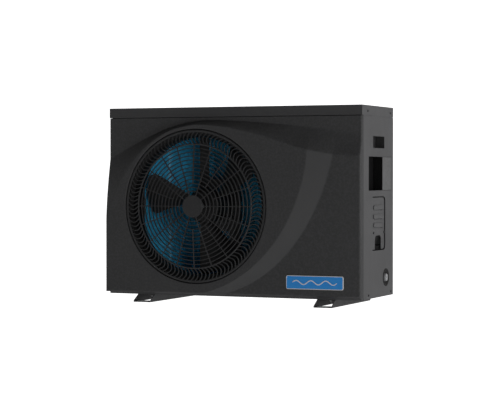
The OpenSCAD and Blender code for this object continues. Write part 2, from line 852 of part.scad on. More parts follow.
module compressor_grommets() {
    color(black)
    for (a = comp_foot_angles) difference() {
        bar_z(comp_foot(a)[0], comp_foot(a)[1], pan_floor, grommet_top, 11, 48);
        bar_z(comp_foot(a)[0], comp_foot(a)[1], pan_floor - 1, grommet_top + 1,
            stud_r - 1 + fit, 48);
    }
}

module compressor_bolts() {
    color(zinc)
    for (a = comp_foot_angles) {
        bar_z(comp_foot(a)[0], comp_foot(a)[1], base - 4, comp_plate_z + 10,
            stud_r - 1, 48);
        bar_z(comp_foot(a)[0], comp_foot(a)[1], base - 4, base, 5.5, 6);
        bar_z(comp_foot(a)[0], comp_foot(a)[1], comp_plate_z + 4, comp_plate_z + 8, 5.5, 6);
    }
}

module accumulator() {
    color(black) {
        dished_shell(accu_x, accu_y, accu_z0, accu_z1, accu_r, 14);
        line([[accu_x, accu_y, accu_z0 + 2], [accu_x, accu_y, accu_z0 - 12],
            [comp_x + comp_r - 2, accu_y, accu_z0 - 12]], line_r);
    }
}

hx_neck_r = pipe_d / 2 + socket_wall + 2;
hx_bore = pipe_d / 2 - 3;
neck_y = back + 30;
drain_y = back - 76;
drain_z = base + pan_rim + dish_r + 1;

module heat_exchanger() {
    color(pvc)
    difference() {
        union() {
            bar_z(hx_x, hx_y, hx_z0, hx_z1, hx_r);
            bar_z(hx_x, hx_y, hx_z1, hx_z1 + 6, hx_r - 8);
            for (z = [union_low, union_high])
                bar_y(hx_x, z, hx_y, neck_y, hx_neck_r);
            bar_x(drain_y, drain_z, hx_x, right - sheet - 9, 13, 48);
        }
        bar_z(hx_x, hx_y, hx_z0 + hx_wall, hx_z1 - hx_wall, hx_r - hx_wall);
        for (z = [union_low, union_high])
            bar_y(hx_x, z, hx_y, neck_y + 1, hx_bore);
        bar_x(drain_y, drain_z, hx_x, right, 8, 48);
    }
}

valve_x = comp_x;
valve_y = comp_y + comp_r + 12;
valve_z = comp_z1 + 98;
valve_r = 13;
port_gap = 25;

module four_way_valve() {
    color([0.75, 0.62, 0.3])
        bar_x(valve_y, valve_z, valve_x - 46, valve_x + 46, valve_r);
    color(black) box([valve_x - 20, valve_y + valve_r - 1, valve_z - 14],
        [valve_x + 20, valve_y + valve_r + 26, valve_z + 14]);
}

eev_x = hx_x - hx_r - 35;
eev_y = hx_y;
eev_z = base + 95;

module expansion_valve() {
    color([0.75, 0.62, 0.3]) bar_z(eev_x, eev_y, eev_z, eev_z + 34, 11, 48);
    color(black) bar_z(eev_x, eev_y, eev_z + 34, eev_z + 58, 16, 48);
}

module discharge_line() {
    color(copper) line([[valve_x, comp_y, comp_z1 + 6], [valve_x, comp_y, valve_z + 40],
        [valve_x, valve_y, valve_z + 40], [valve_x, valve_y, valve_z + valve_r - 0.5]],
        line_r);
}

module suction_line() {
    z = valve_z - 52;
    color(copper) line([[valve_x, valve_y, valve_z - valve_r + 0.5], [valve_x, valve_y, z],
        [accu_x, valve_y, z], [accu_x, accu_y, z], [accu_x, accu_y, accu_z1]], line_r);
}

// Gas lines from the reversing valve to the coil header and the exchanger.
module gas_line() {
    za = valve_z - 34;
    zb = valve_z - 26;
    zc = hx_z1 - 30;
    xa = valve_x - port_gap;
    xb = valve_x + port_gap;
    color(copper) {
        line([[xa, valve_y, valve_z - valve_r + 2], [xa, valve_y, za],
            [xa, gas_header_y, za], [header_x + header_r - 0.5, gas_header_y, za]],
            line_r - 1);
        line([[xb, valve_y, valve_z - valve_r + 2], [xb, valve_y, zb], [xb, hx_y, zb],
            [xb, hx_y, zc], [hx_x - hx_r + 0.5, hx_y, zc]], line_r - 1);
    }
}

module liquid_line() {
    r = line_r - 2;
    z = eev_z + 30;
    color(copper) {
        line([[hx_x - hx_r + 0.5, eev_y, eev_z - 25], [eev_x, eev_y, eev_z - 25],
            [eev_x, eev_y, eev_z]], r);
        line([[eev_x - 11 + 0.5, eev_y, eev_z + 17], [eev_x - 40, eev_y, eev_z + 17],
            [eev_x - 40, liquid_header_y, eev_z + 17],
            [header_x + line_r - 0.5, liquid_header_y, eev_z + 17]], r);
    }
}

// ---- Water unions --------------------------------------------------------

seal_t = 2;
flange_y = neck_y + seal_t;
flange_t = 5;
tail_r = pipe_d / 2 + socket_wall;
tail_end = flange_y + flange_t + 5 + socket_l;
nut_front = neck_y - 24;
nut_back = flange_y + flange_t + 6;
union_run = 0.08;

module union_seals() {
    color(black)
    for (z = [union_low, union_high]) difference() {
        bar_y(hx_x, z, neck_y, flange_y, hx_neck_r - 2);
        bar_y(hx_x, z, neck_y - 1, flange_y + 1, hx_bore + 1);
    }
}

module union_tails() {
    color(pvc)
    for (z = [union_low, union_high]) difference() {
        union() {
            bar_y(hx_x, z, flange_y, flange_y + flange_t, hx_neck_r - 0.5);
            bar_y(hx_x, z, flange_y, tail_end, tail_r);
        }
        bar_y(hx_x, z, flange_y - 1, tail_end - socket_l + 1, hx_bore);
        bar_y(hx_x, z, tail_end - socket_l, tail_end + 1, pipe_d / 2);
    }
}

module union_nut(z) {
    ribs = 12;
    color(black)
    difference() {
        union() {
            bar_y(hx_x, z, nut_front, nut_back, hx_neck_r + 6);
            for (i = [0 : ribs - 1]) let (a = i * 360 / ribs)
                bar_y(hx_x + (hx_neck_r + 5) * cos(a), z + (hx_neck_r + 5) * sin(a),
                    nut_front, nut_back - 2, 3.5, 24);
        }
        bar_y(hx_x, z, nut_front - 1, flange_y + flange_t + 0.4, hx_neck_r + union_run);
        bar_y(hx_x, z, nut_front, nut_back + 1, tail_r + union_run);
    }
}

module union_nut_low() {
    union_nut(union_low);
}

module union_nut_high() {
    union_nut(union_high);
}

// ---- Electrical box ------------------------------------------------------

ebox_x0 = partition_x + sheet + 8;
ebox_x1 = right - 50;
ebox_y0 = front + 22;
ebox_y1 = ebox_y0 + 128;
ebox_z0 = base + 450;
ebox_z1 = ebox_z0 + 110;

module control_box() {
    color(zinc)
    difference() {
        box([ebox_x0, ebox_y0, ebox_z0], [ebox_x1, ebox_y1, ebox_z1]);
        box([ebox_x0 + sheet, ebox_y0 + sheet, ebox_z0 + sheet],
            [ebox_x1 - sheet, ebox_y1 - sheet, ebox_z1 + 1]);
        for (y = [ebox_y0 + 35, ebox_y0 + 70])
            bar_x(y, ebox_z0 + 25, ebox_x1 - 5, ebox_x1 + 1, 9, 48);
    }
}

module control_box_lid() {
    color(zinc)
    difference() {
        box([ebox_x0 - sheet - fit, ebox_y0 - sheet - fit, ebox_z1 - 12],
            [ebox_x1 + sheet + fit, ebox_y1 + sheet + fit, ebox_z1 + 0.2 + sheet]);
        box([ebox_x0 - fit, ebox_y0 - fit, ebox_z1 - 13],
            [ebox_x1 + fit, ebox_y1 + fit, ebox_z1 + 0.2]);
    }
}

pcb_x0 = ebox_x0 + 12;
pcb_x1 = ebox_x1 - 16;
pcb_y0 = ebox_y0 + 12;
pcb_y1 = ebox_y1 - 12;
pcb_z = ebox_z0 + 16;

// Control board with its standoffs, relays and connectors.
module circuit_board() {
    color([0.05, 0.35, 0.2]) {
        box([pcb_x0, pcb_y0, pcb_z], [pcb_x1, pcb_y1, pcb_z + 1.6]);
        for (x = [pcb_x0 + 6, pcb_x1 - 6], y = [pcb_y0 + 6, pcb_y1 - 6])
            bar_z(x, y, ebox_z0 + sheet, pcb_z, 3, 24);
        for (i = [0 : 4])
            box([pcb_x1 - 92 + i * 18, pcb_y0 + 6, pcb_z + 1.5],
                [pcb_x1 - 78 + i * 18, pcb_y0 + 26, pcb_z + 17]);
        for (i = [0 : 3])
            box([pcb_x1 - 88 + i * 21, pcb_y1 - 16, pcb_z + 1.5],
                [pcb_x1 - 72 + i * 21, pcb_y1 - 6, pcb_z + 11]);
        box([pcb_x1 - 70, pcb_y0 + 40, pcb_z + 1.5], [pcb_x1 - 34, pcb_y0 + 76, pcb_z + 5]);
    }
}

module capacitors() {
    color(black)
    for (i = [0 : 1])
        bar_z(pcb_x0 + 22 + i * 38, pcb_y0 + 30, pcb_z + 1.6, pcb_z + 56, 16, 48);
}

// Finned block under the box that cools the inverter.
module heat_sink() {
    x1 = ebox_x0 + 56;
    fins = 7;
    color(zinc) {
        box([ebox_x0, ebox_y0 + 10, ebox_z0 - 6], [x1, ebox_y0 + 66, ebox_z0]);
        for (i = [0 : fins - 1]) let (x = ebox_x0 + i * (x1 - ebox_x0 - 2) / (fins - 1))
            box([x, ebox_y0 + 10, ebox_z0 - 24], [x + 2, ebox_y0 + 66, ebox_z0 - 5]);
    }
}

// ---- Right side panel ----------------------------------------------------

side_y0 = front + panel_return + 0.6;
side_in = right - sheet;
grip_y = front + 165;
grip_z = base + 515.5;
grip_wall = 2;
scoop_y0 = front + 92;
scoop_ramp = 28;
scoop_z = base + 411.5;
plate_y0 = front + 201;
cover_y = front + 164.5;
cover_z = base + 246;
cover_t = 3;
cover_r = 15;
cover_channel = 3.4;
channel_wall = 3.4;
arch_y = front + 165.5;
arch_h = 46;
louvre_proud = 2.6;
louvre_zs = [cover_z + 53, cover_z + 23, cover_z - 6];
cover_screw_ys = [cover_y - 43, cover_y + 61];
cover_screw_z = base + 215.5;
lid_screws = [[front + 55, top - 19.5], [front + 284, top - 19.5]];
base_screws = [[front + 64, base + 12.5], [front + 292, base + 12.5]];
screw_r = 2;

module side_screw_holes(x0, x1, sites) {
    for (s = sites) bar_x(s[0], s[1], x0, x1, screw_r + fit, 24);
}

// Plan of the scoop: a short ramp, a steep wall, then a flat floor up to its plate.
module scoop_plan(grow) {
    x = right + 1;
    polygon([[x, scoop_y0 - scoop_ramp - grow], [right - grow, scoop_y0 - scoop_ramp - grow],
        [right - scoop_d * 0.3 - grow, scoop_y0 - grow],
        [right - scoop_d - grow, scoop_y0 + 22 - grow],
        [right - scoop_d - grow, plate_y0 + plate_w + grow], [x, plate_y0 + plate_w + grow]]);
}

module scoop_body(grow) {
    translate([0, 0, scoop_z - scoop_h / 2 - grow]) linear_extrude(scoop_h + 2 * grow)
        scoop_plan(grow);
}

module right_side_panel() {
    cover_lo = [cover_y - cover_w / 2, cover_z - cover_h / 2];
    cover_hi = [cover_y + cover_w / 2, cover_z + cover_h / 2];
    color(charcoal)
    difference() {
        union() {
            box([side_in, side_y0, base + 0.5], [right, back, lid_z - seam]);
            box([side_in - sheet - fit, side_y0 + 4, lid_z - 12],
                [side_in - fit, back - 6, top - 6]);
            box([side_in - sheet - fit, side_y0 + 4, lid_z - 12],
                [side_in, back - 6, lid_z - 6]);
            box([right - grip_d - grip_wall, grip_y - grip_w / 2 - grip_wall,
                grip_z - grip_h / 2 - grip_wall],
                [right - eps, grip_y + grip_w / 2 + grip_wall, grip_z + grip_h / 2 + grip_wall]);
            intersection() {
                scoop_body(grip_wall);
                box([right - 60, side_y0, base], [right - eps, back, top]);
            }
            slab_x(right - 12, right - eps)
                round_rect(cover_lo - (cover_channel + channel_wall) * [1, 1],
                    cover_hi + (cover_channel + channel_wall) * [1, 1],
                    cover_r + cover_channel + channel_wall);
        }
        box([right - grip_d, grip_y - grip_w / 2, grip_z - grip_h / 2],
            [right + 1, grip_y + grip_w / 2, grip_z + grip_h / 2]);
        scoop_body(0);
        slab_x(right - 9, right + 1)
            round_rect(cover_lo - [cover_channel, cover_channel],
                cover_hi + [0.6, cover_channel], cover_r + 1);
        slab_x(right - 14, right - 5)
            round_rect(cover_lo + [12, 12], cover_hi - [12, 12], 8);
        side_screw_holes(right - 16, right + 1, base_screws);
        side_screw_holes(right - 16, right + 1, lid_screws);
        side_screw_holes(right - 16, right + 1,
            [for (y = cover_screw_ys) [y, cover_screw_z]]);
        bar_x(drain_y, drain_z, right - 20, right + 1, dish_r - 1 + fit);
    }
}

// Flush plate that closes the rear part of the scoop.
module scoop_plate() {
    color([0.25, 0.25, 0.26])
    difference() {
        box([right - scoop_d + 0.4, plate_y0, scoop_z - scoop_h / 2 + 0.8],
            [right + 1, plate_y0 + plate_w - 0.8, scoop_z + scoop_h / 2 - 0.8]);
        box([right - scoop_d - 1, plate_y0 + 3, scoop_z - scoop_h / 2 + 3.8],
            [right - 2, plate_y0 + plate_w - 3.8, scoop_z + scoop_h / 2 - 3.8]);
    }
}

module wiring_cover() {
    lo = [cover_y - cover_w / 2, cover_z - cover_h / 2];
    hi = [cover_y + cover_w / 2, cover_z + cover_h / 2];
    face = right - 3;
    color(charcoal)
    difference() {
        union() {
            slab_x(face - cover_t, face) round_rect(lo, hi, cover_r - 0.6);
            for (z = louvre_zs)
                slab_x(face - cover_t, face + louvre_proud)
                    round_rect([cover_y - 46, z - 7.5], [cover_y + 52, z + 7.5], 7);
        }
        for (z = louvre_zs)
            slab_x(face - cover_t - 1, face + louvre_proud - 1.4)
                round_rect([cover_y - 43, z - 9], [cover_y + 49, z - 1], 2.4);
        slab_x(face - cover_t - 1, face + 1) {
            translate([arch_y - arch_w / 2, lo[1] - 1])
                square([arch_w, arch_h - arch_w / 4 + 1]);
            round_rect([arch_y - arch_w / 2, lo[1]],
                [arch_y + arch_w / 2, lo[1] + arch_h], arch_w / 4);
        }
        for (y = cover_screw_ys)
            bar_x(y, cover_screw_z, face - cover_t - 1, face + 1, screw_r + fit, 24);
    }
}

module wiring_cover_screws() {
    face = right - 3;
    color(zinc)
    for (y = cover_screw_ys) {
        bar_x(y, cover_screw_z, face, face + 2, 4, 48);
        bar_x(y, cover_screw_z, face - 9, face + eps, screw_r, 24);
    }
}

term_x = right - 62;

// Sheet stand that holds the terminals and the cable clamp.
module terminal_bracket() {
    color(zinc) {
        box([term_x, cover_y - 60, cover_z - 92], [term_x + sheet, cover_y + 16, cover_z + 30]);
        box([term_x, cover_y - 60, cover_z - 92],
            [side_in - 12, cover_y + 16, cover_z - 92 + sheet]);
    }
}

module terminal_block() {
    ways = 5;
    pitch = 13;
    y0 = cover_y - 56;
    color(pvc)
    difference() {
        box([term_x + sheet, y0, cover_z - 20],
            [term_x + sheet + 22, y0 + ways * pitch + 3, cover_z + 14]);
        for (i = [0 : ways - 1])
            box([term_x + sheet + 10, y0 + 3 + i * pitch, cover_z - 12],
                [term_x + sheet + 23, y0 + pitch + i * pitch, cover_z + 6]);
    }
}

module cable_clamp() {
    y0 = cover_y - 40;
    z0 = cover_z - 92 + sheet;
    color(black)
    difference() {
        box([term_x + 8, y0, z0], [term_x + 40, y0 + 44, z0 + 24]);
        bar_z(term_x + 24, y0 + 13, z0 - 1, z0 + 25, 6.5, 48);
        bar_z(term_x + 24, y0 + 31, z0 - 1, z0 + 25, 5, 48);
    }
}

// Dished rubber bush that frames the drain plug.
module drain_bush() {
    x0 = right - 8;
    color(black)
    translate([x0, drain_y, drain_z]) rotate([0, 90, 0]) rotate_extrude($fn = 96)
        polygon([[13.5, 0], [dish_r - 1, 0], [dish_r - 1, 8], [dish_r + 2, 8],
            [dish_r + 1.5, 9.5], [dish_r - 2, 9.5], [17, 3], [13.5, 3]]);
}

module drain_plug() {
    x0 = right - sheet - 9;
    wings = 8;
    color(pvc)
    difference() {
        union() {
            bar_x(drain_y, drain_z, x0 - 12, x0, 7.95, 48);
            bar_x(drain_y, drain_z, x0 + 0.2, right + 3, 11.5, 48);
            bar_x(drain_y, drain_z, x0 - 1, x0 + 1, 7.95, 48);
            for (i = [0 : wings - 1]) let (a = i * 360 / wings)
                bar_x(drain_y + 11 * cos(a), drain_z + 11 * sin(a), x0 + 4, right + 2, 2, 24);
        }
        box([right - 1, drain_y - 8, drain_z - 1.2], [right + 4, drain_y + 8, drain_z + 1.2]);
    }
}

// ---- Left side, rear and lid ---------------------------------------------

guard_z0 = base + 40;
guard_z1 = lid_z - 90;
guard_y0 = coil_leg_y + 8;
guard_y1 = back - 22;

module left_side_panel() {
    color(charcoal)
    difference() {
        union() {
            box([left, side_y0, base + 0.5], [left + sheet, back, lid_z - seam]);
            box([left + sheet - eps, side_y0 + 4, lid_z - 12],
                [left + 2 * sheet + fit, back - 6, lid_z - 6]);
            box([left + sheet + fit, side_y0 + 4, lid_z - 12],
                [left + 2 * sheet + fit, back - 6, top - 6]);
            box([left, back - sheet, base + 0.5], [left + 18, back, lid_z - seam]);
        }
        box([left - 1, guard_y0, guard_z0], [left + sheet + 0.1, guard_y1, guard_z1]);
        side_screw_holes(left - 1, left + 10, base_screws);
        side_screw_holes(left - 1, left + 10, lid_screws);
    }
}

// A guard of crossed bars in the (y, z) or (x, z) plane.
module guard2d(a, b, pitch, bar, posts) {
    difference() {
        translate(a) square(b - a);
        translate(a + [6, 6]) square(b - a - [12, 12]);
    }
    rows = floor((b[1] - a[1]) / pitch);
    for (i = [1 : rows - 1])
        translate([a[0] + 1, a[1] + i * (b[1] - a[1]) / rows - bar / 2])
            square([b[0] - a[0] - 2, bar]);
    for (i = [1 : posts])
        translate([a[0] + i * (b[0] - a[0]) / (posts + 1) - bar / 2, a[1] + 1])
            square([bar, b[1] - a[1] - 2]);
}

guard_pitch = 22;
guard_bar = 3;
guard_t = 4;

module left_guard() {
    color(black)
    slab_x(left + 0.4, left + 0.4 + guard_t)
        guard2d([guard_y0 + 0.6, guard_z0 + 0.6], [guard_y1 - 0.6, guard_z1 - 0.6],
            guard_pitch, guard_bar, 2);
}

rear_x0 = coil_right - 4;

module rear_panel() {
    color(charcoal)
    difference() {
        union() {
            box([rear_x0, back - sheet, base + 0.5], [right - sheet - fit, back, lid_z - seam]);
            box([rear_x0, back - sheet - 8, base + pan_rim + 2],
                [rear_x0 + sheet, back - sheet + eps, lid_z - seam]);
        }
        for (z = [union_low, union_high])
            bar_y(hx_x, z, back - sheet - 1, back + 1, hx_neck_r + 1);
        slab_y(back - sheet - 1, back + 1)
            for (i = [0 : 5])
                round_rect([rear_x0 + 60, base + 470 + i * 18],
                    [rear_x0 + 160, base + 476 + i * 18], 2.9);
    }
}

module rear_guard() {
    color(black)
    slab_y(back - guard_t, back - 0.2)
        guard2d([left + 18.6, base + pan_rim + 2], [rear_x0 - 0.6, lid_z - seam - 1],
            guard_pitch, guard_bar, 6);
}

module top_cover() {
    color(charcoal)
    difference() {
        box([left, front, lid_z], [right, back, top]);
        box([left + sheet, front + sheet, lid_z - 1], [right - sheet, back - sheet, top - sheet]);
        side_screw_holes(left - 1, right + 1, lid_screws);
    }
}

module side_screw(s, x_face, out) {
    x0 = out > 0 ? x_face : x_face - 2;
    x2 = out > 0 ? x_face - 9 : x_face - eps;
    bar_x(s[0], s[1], x0, x0 + 2, 4, 48);
    bar_x(s[0], s[1], x2, x2 + 9 + eps, screw_r, 24);
}

module cabinet_screws() {
    color(black)
    for (s = concat(lid_screws, base_screws)) {
        side_screw(s, right, 1);
        side_screw(s, left, -1);
    }
}

base_pan();
foot_rail_left();
foot_rail_right();
slot_plates();
rail_bolts();
rail_nuts();
condensate_nipple();
front_panel();
badge();
fan_grille();
fan_shroud();
fan();
fan_nut();
motor_shaft();
motor_rotor();
motor_stator();
motor_bearings();
fan_motor();
motor_bracket();
motor_screws();
evaporator_fins();
coil_return_bends();
coil_end_plates();
coil_headers();
partition();
compressor();
compressor_grommets();
compressor_bolts();
accumulator();
heat_exchanger();
four_way_valve();
expansion_valve();
discharge_line();
suction_line();
gas_line();
liquid_line();
union_seals();
union_tails();
union_nut_low();
union_nut_high();
control_box();
control_box_lid();
circuit_board();
capacitors();
heat_sink();
terminal_bracket();
terminal_block();
cable_clamp();
right_side_panel();
scoop_plate();
wiring_cover();
wiring_cover_screws();
drain_bush();
drain_plug();
left_side_panel();
left_guard();
rear_panel();
rear_guard();
top_cover();
cabinet_screws();
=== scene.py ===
"""Visual build of a horizontal-discharge pool heat pump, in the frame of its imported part.

Each sub-assembly is a class with its sizes in millimetres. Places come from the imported
nodes' boxes, and each finish is a frozen dataclass that makes its own material.
"""

import json
import logging
import math
from dataclasses import dataclass
from enum import Enum
from typing import Callable, Optional, Sequence

import bmesh
import bpy
import numpy as np
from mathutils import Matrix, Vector


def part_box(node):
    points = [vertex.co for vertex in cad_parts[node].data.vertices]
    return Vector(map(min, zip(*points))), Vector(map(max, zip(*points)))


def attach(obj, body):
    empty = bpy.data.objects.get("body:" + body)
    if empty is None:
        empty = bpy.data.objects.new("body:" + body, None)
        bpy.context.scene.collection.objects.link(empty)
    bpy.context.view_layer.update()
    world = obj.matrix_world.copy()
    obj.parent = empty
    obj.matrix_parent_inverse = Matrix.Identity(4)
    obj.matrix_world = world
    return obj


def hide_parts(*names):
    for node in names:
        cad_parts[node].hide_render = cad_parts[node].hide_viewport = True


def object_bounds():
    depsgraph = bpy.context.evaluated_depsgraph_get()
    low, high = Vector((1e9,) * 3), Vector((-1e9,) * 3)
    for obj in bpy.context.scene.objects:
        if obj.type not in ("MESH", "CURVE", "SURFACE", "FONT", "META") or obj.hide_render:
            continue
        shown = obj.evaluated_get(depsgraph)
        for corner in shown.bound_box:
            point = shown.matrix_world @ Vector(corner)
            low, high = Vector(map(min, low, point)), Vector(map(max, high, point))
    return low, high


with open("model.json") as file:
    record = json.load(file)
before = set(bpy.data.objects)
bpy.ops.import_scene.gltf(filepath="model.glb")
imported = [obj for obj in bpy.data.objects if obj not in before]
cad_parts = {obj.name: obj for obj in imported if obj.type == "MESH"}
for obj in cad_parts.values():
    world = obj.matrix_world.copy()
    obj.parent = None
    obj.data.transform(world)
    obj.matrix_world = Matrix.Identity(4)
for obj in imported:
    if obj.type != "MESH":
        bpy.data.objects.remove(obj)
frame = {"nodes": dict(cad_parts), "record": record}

LOG = logging.getLogger("heat_pump")
MM = 0.001
CAD_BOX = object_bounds()
WHITE = (1.0, 1.0, 1.0, 1.0)
TONE_GAIN = 2.5
DUST_ROUGHNESS = 0.4
WELD_M = 1e-5

Rgb = tuple[float, float, float]
Point = tuple[float, float, float]
Pairs = tuple[tuple[float, float], ...]
Array = np.ndarray
Socket = bpy.types.NodeSocket
Outputs = dict[str, Socket]


# ---- Shader effects ----


class Effect(Enum):
    """The surface effects that several finishes share."""

    PEEL = "orange_peel"
    GRAIN = "moulded_grain"
    BRUSH = "drawn_lines"
    CAST = "cast_skin"
    WEAR = "rubbed_edges"
    DUST = "settled_dust"
    TOUCH = "handling_patches"


class Tree:
    """A node tree under construction."""

    def __init__(self, tree: bpy.types.NodeTree) -> None:
        """Keeps the tree to add to."""
        self.tree = tree

    def add(self, kind: str, **settings: object) -> bpy.types.Node:
        """Adds one node.

        Args:
            kind: the node's Blender type.
            settings: its properties.

        Returns:
            The node.
        """
        node = self.tree.nodes.new(kind)
        for name, value in settings.items():
            setattr(node, name, value)
        return node

    def join(self, source: object, target: Socket) -> None:
        """Links two sockets, or sets the target to a plain value.

        Args:
            source: a socket or a plain value.
            target: the input that takes it.
        """
        if isinstance(source, Socket):
            self.tree.links.new(source, target)
        else:
            target.default_value = source

    def math(self, operation: str, a: object, b: object) -> Socket:
        """One sum on two values or sockets.

        Args:
            operation: a Math node operation.
            a: first value or socket.
            b: second value or socket.

        Returns:
            The result's socket.
        """
        node = self.add("ShaderNodeMath", operation=operation)
        self.join(a, node.inputs[0])
        self.join(b, node.inputs[1])
        return node.outputs[0]

    def plus_share(self, a: object, b: object, share: float) -> Socket:
        """The first value plus a share of the second."""
        return self.math("ADD", a, self.math("MULTIPLY", b, share))

    def ramp(
        self, value: Socket, low: float, high: float, out: tuple[float, float] = (0.0, 1.0)
    ) -> Socket:
        """Maps a value smoothly from one range to another.

        Args:
            value: what is mapped.
            low: the value that gives the first output.
            high: the value that gives the second output.
            out: the two outputs.

        Returns:
            The result's socket.
        """
        node = self.add("ShaderNodeMapRange", interpolation_type="SMOOTHSTEP")
        self.join(value, node.inputs["Value"])
        ends = {"From Min": low, "From Max": high, "To Min": out[0], "To Max": out[1]}
        for name, number in ends.items():
            node.inputs[name].default_value = number
        return node.outputs["Result"]

    def noise(self, scale: object, detail: float, stretch: Optional[Point] = None) -> Socket:
        """Noise in the piece's own coordinates.

        Args:
            scale: cycles per metre, a value or a socket.
            detail: octaves.
            stretch: a factor along each axis.

        Returns:
            The noise value's socket.
        """
        place = self.add("ShaderNodeTexCoord").outputs["Object"]
        if stretch:
            mapping = self.add("ShaderNodeMapping")
            self.join(place, mapping.inputs["Vector"])
            mapping.inputs["Scale"].default_value = stretch
            place = mapping.outputs["Vector"]
        node = self.add("ShaderNodeTexNoise")
        self.join(place, node.inputs["Vector"])
        self.join(scale, node.inputs["Scale"])
        node.inputs["Detail"].default_value = detail
        return node.outputs["Fac"]

    def tint(self, mask: Socket, below: object, above: Rgb) -> Socket:
        """Mixes a colour over another by a mask.

        Args:
            mask: how much of the second colour shows.
            below: the first colour, a value or a socket.
            above: the second colour.

        Returns:
            The mixed colour's socket.
        """
        node = self.add("ShaderNodeMix", data_type="RGBA")
        self.join(mask, node.inputs[0])
        self.join((*below, 1.0) if isinstance(below, tuple) else below, node.inputs[6])
        node.inputs[7].default_value = (*above, 1.0)
        return node.outputs[2]


class Effects:
    """The shared node groups, each made once."""

    def __init__(self) -> None:
        """Starts with no group made."""
        self.entry: Optional[bpy.types.Node] = None
        self.made: dict[Effect, bpy.types.NodeTree] = {}
        self.makers: dict[Effect, Callable[[Tree], Outputs]] = {
            Effect.PEEL: self.peel,
            Effect.GRAIN: self.grain,
            Effect.BRUSH: self.brush,
            Effect.CAST: self.cast,
            Effect.WEAR: self.wear,
            Effect.DUST: self.dust,
            Effect.TOUCH: self.touch,
        }

    def group(self, effect: Effect) -> bpy.types.NodeTree:
        """Gives an effect's node group.

        Args:
            effect: which effect.

        Returns:
            The group's node tree, with sockets Scale, Height and Mask.
        """
        if effect not in self.made:
            tree = bpy.data.node_groups.new(effect.value, "ShaderNodeTree")
            face = tree.interface
            size = face.new_socket("Scale", in_out="INPUT", socket_type="NodeSocketFloat")
            size.default_value = 1.0
            face.new_socket("Height", in_out="OUTPUT", socket_type="NodeSocketFloat")
            face.new_socket("Mask", in_out="OUTPUT", socket_type="NodeSocketFloat")
            inside = Tree(tree)
            self.entry = inside.add("NodeGroupInput")
            results = self.makers[effect](inside)
            end = inside.add("NodeGroupOutput")
            for name, socket in results.items():
                inside.join(socket, end.inputs[name])
            self.made[effect] = tree
        return self.made[effect]

    def scaled(self, inside: Tree, per_metre: float) -> Socket:
        """The group's Scale input times a pattern's own scale."""
        return inside.math("MULTIPLY", self.entry.outputs["Scale"], per_metre)

    def cloud(
        self, inside: Tree, per_metre: float, detail: float, stretch: Optional[Point] = None
    ) -> Socket:
        """Noise that follows the group's Scale input."""
        return inside.noise(self.scaled(inside, per_metre), detail, stretch)

    def peel(self, inside: Tree) -> Outputs:
        """Powder coat: a soft pebbled skin with a fine sparkle of tone.

        Args:
            inside: the group's tree.

        Returns:
            Its Height and Mask.
        """
        pebbles = self.cloud(inside, per_metre=420.0, detail=2.0)
        sparkle = self.cloud(inside, per_metre=1500.0, detail=1.0)
        height = inside.plus_share(pebbles, sparkle, share=0.35)
        return {"Height": height, "Mask": inside.ramp(sparkle, low=0.42, high=0.68)}

    def grain(self, inside: Tree) -> Outputs:
        """Moulded plastic: a leathery spark-eroded grain.

        Args:
            inside: the group's tree.

        Returns:
            Its Height and Mask.
        """
        cell = inside.add("ShaderNodeTexVoronoi", feature="SMOOTH_F1")
        place = inside.add("ShaderNodeTexCoord").outputs["Object"]
        inside.join(place, cell.inputs["Vector"])
        inside.join(self.scaled(inside, per_metre=900.0), cell.inputs["Scale"])
        lumps = self.cloud(inside, per_metre=160.0, detail=3.0)
        height = inside.plus_share(cell.outputs["Distance"], lumps, share=0.5)
        return {"Height": height, "Mask": inside.ramp(lumps, low=0.35, high=0.7)}

    def brush(self, inside: Tree) -> Outputs:
        """Rolled or drawn metal: long fine lines along the vertical.

        Args:
            inside: the group's tree.

        Returns:
            Its Height and Mask.
        """
        lines = self.cloud(inside, per_metre=900.0, detail=3.0, stretch=(1.0, 1.0, 0.03))
        spangle = self.cloud(inside, per_metre=120.0, detail=2.0)
        return {"Height": lines, "Mask": inside.ramp(spangle, low=0.4, high=0.65)}

    def cast(self, inside: Tree) -> Outputs:
        """A cast or dipped skin: low lumps with pits.

        Args:
            inside: the group's tree.

        Returns:
            Its Height and Mask.
        """
        lumps = self.cloud(inside, per_metre=140.0, detail=4.0)
        pits = self.cloud(inside, per_metre=700.0, detail=2.0)
        height = inside.plus_share(lumps, pits, share=0.3)
        return {"Height": height, "Mask": inside.ramp(pits, low=0.5, high=0.72)}

    def wear(self, inside: Tree) -> Outputs:
        """Rubbed edges: the sharp edges within Scale millimetres, broken up by noise.

        Args:
            inside: the group's tree.

        Returns:
            The whole edge as Height and the broken one as Mask.
        """
        round_off = inside.add("ShaderNodeBevel", samples=4)
        inside.join(self.scaled(inside, MM), round_off.inputs["Radius"])
        dot = inside.add("ShaderNodeVectorMath", operation="DOT_PRODUCT")
        inside.join(round_off.outputs["Normal"], dot.inputs[0])
        inside.join(inside.add("ShaderNodeNewGeometry").outputs["Normal"], dot.inputs[1])
        edge = inside.ramp(dot.outputs["Value"], low=0.995, high=0.86)
        patches = inside.noise(scale=90.0, detail=4.0)
        breaks = inside.ramp(patches, low=0.38, high=0.62, out=(0.15, 1.0))
        return {"Height": edge, "Mask": inside.math("MULTIPLY", edge, breaks)}

    def dust(self, inside: Tree) -> Outputs:
        """Dust that settles on whatever faces up.

        Args:
            inside: the group's tree.

        Returns:
            The dust's clouds as Height and what has settled as Mask.
        """
        split = inside.add("ShaderNodeSeparateXYZ")
        inside.join(inside.add("ShaderNodeNewGeometry").outputs["Normal"], split.inputs[0])
        up = inside.ramp(split.outputs["Z"], low=0.25, high=1.0)
        drift = self.cloud(inside, per_metre=22.0, detail=5.0)
        drift = inside.ramp(drift, low=0.3, high=0.75, out=(0.25, 1.0))
        return {"Height": drift, "Mask": inside.math("MULTIPLY", up, drift)}

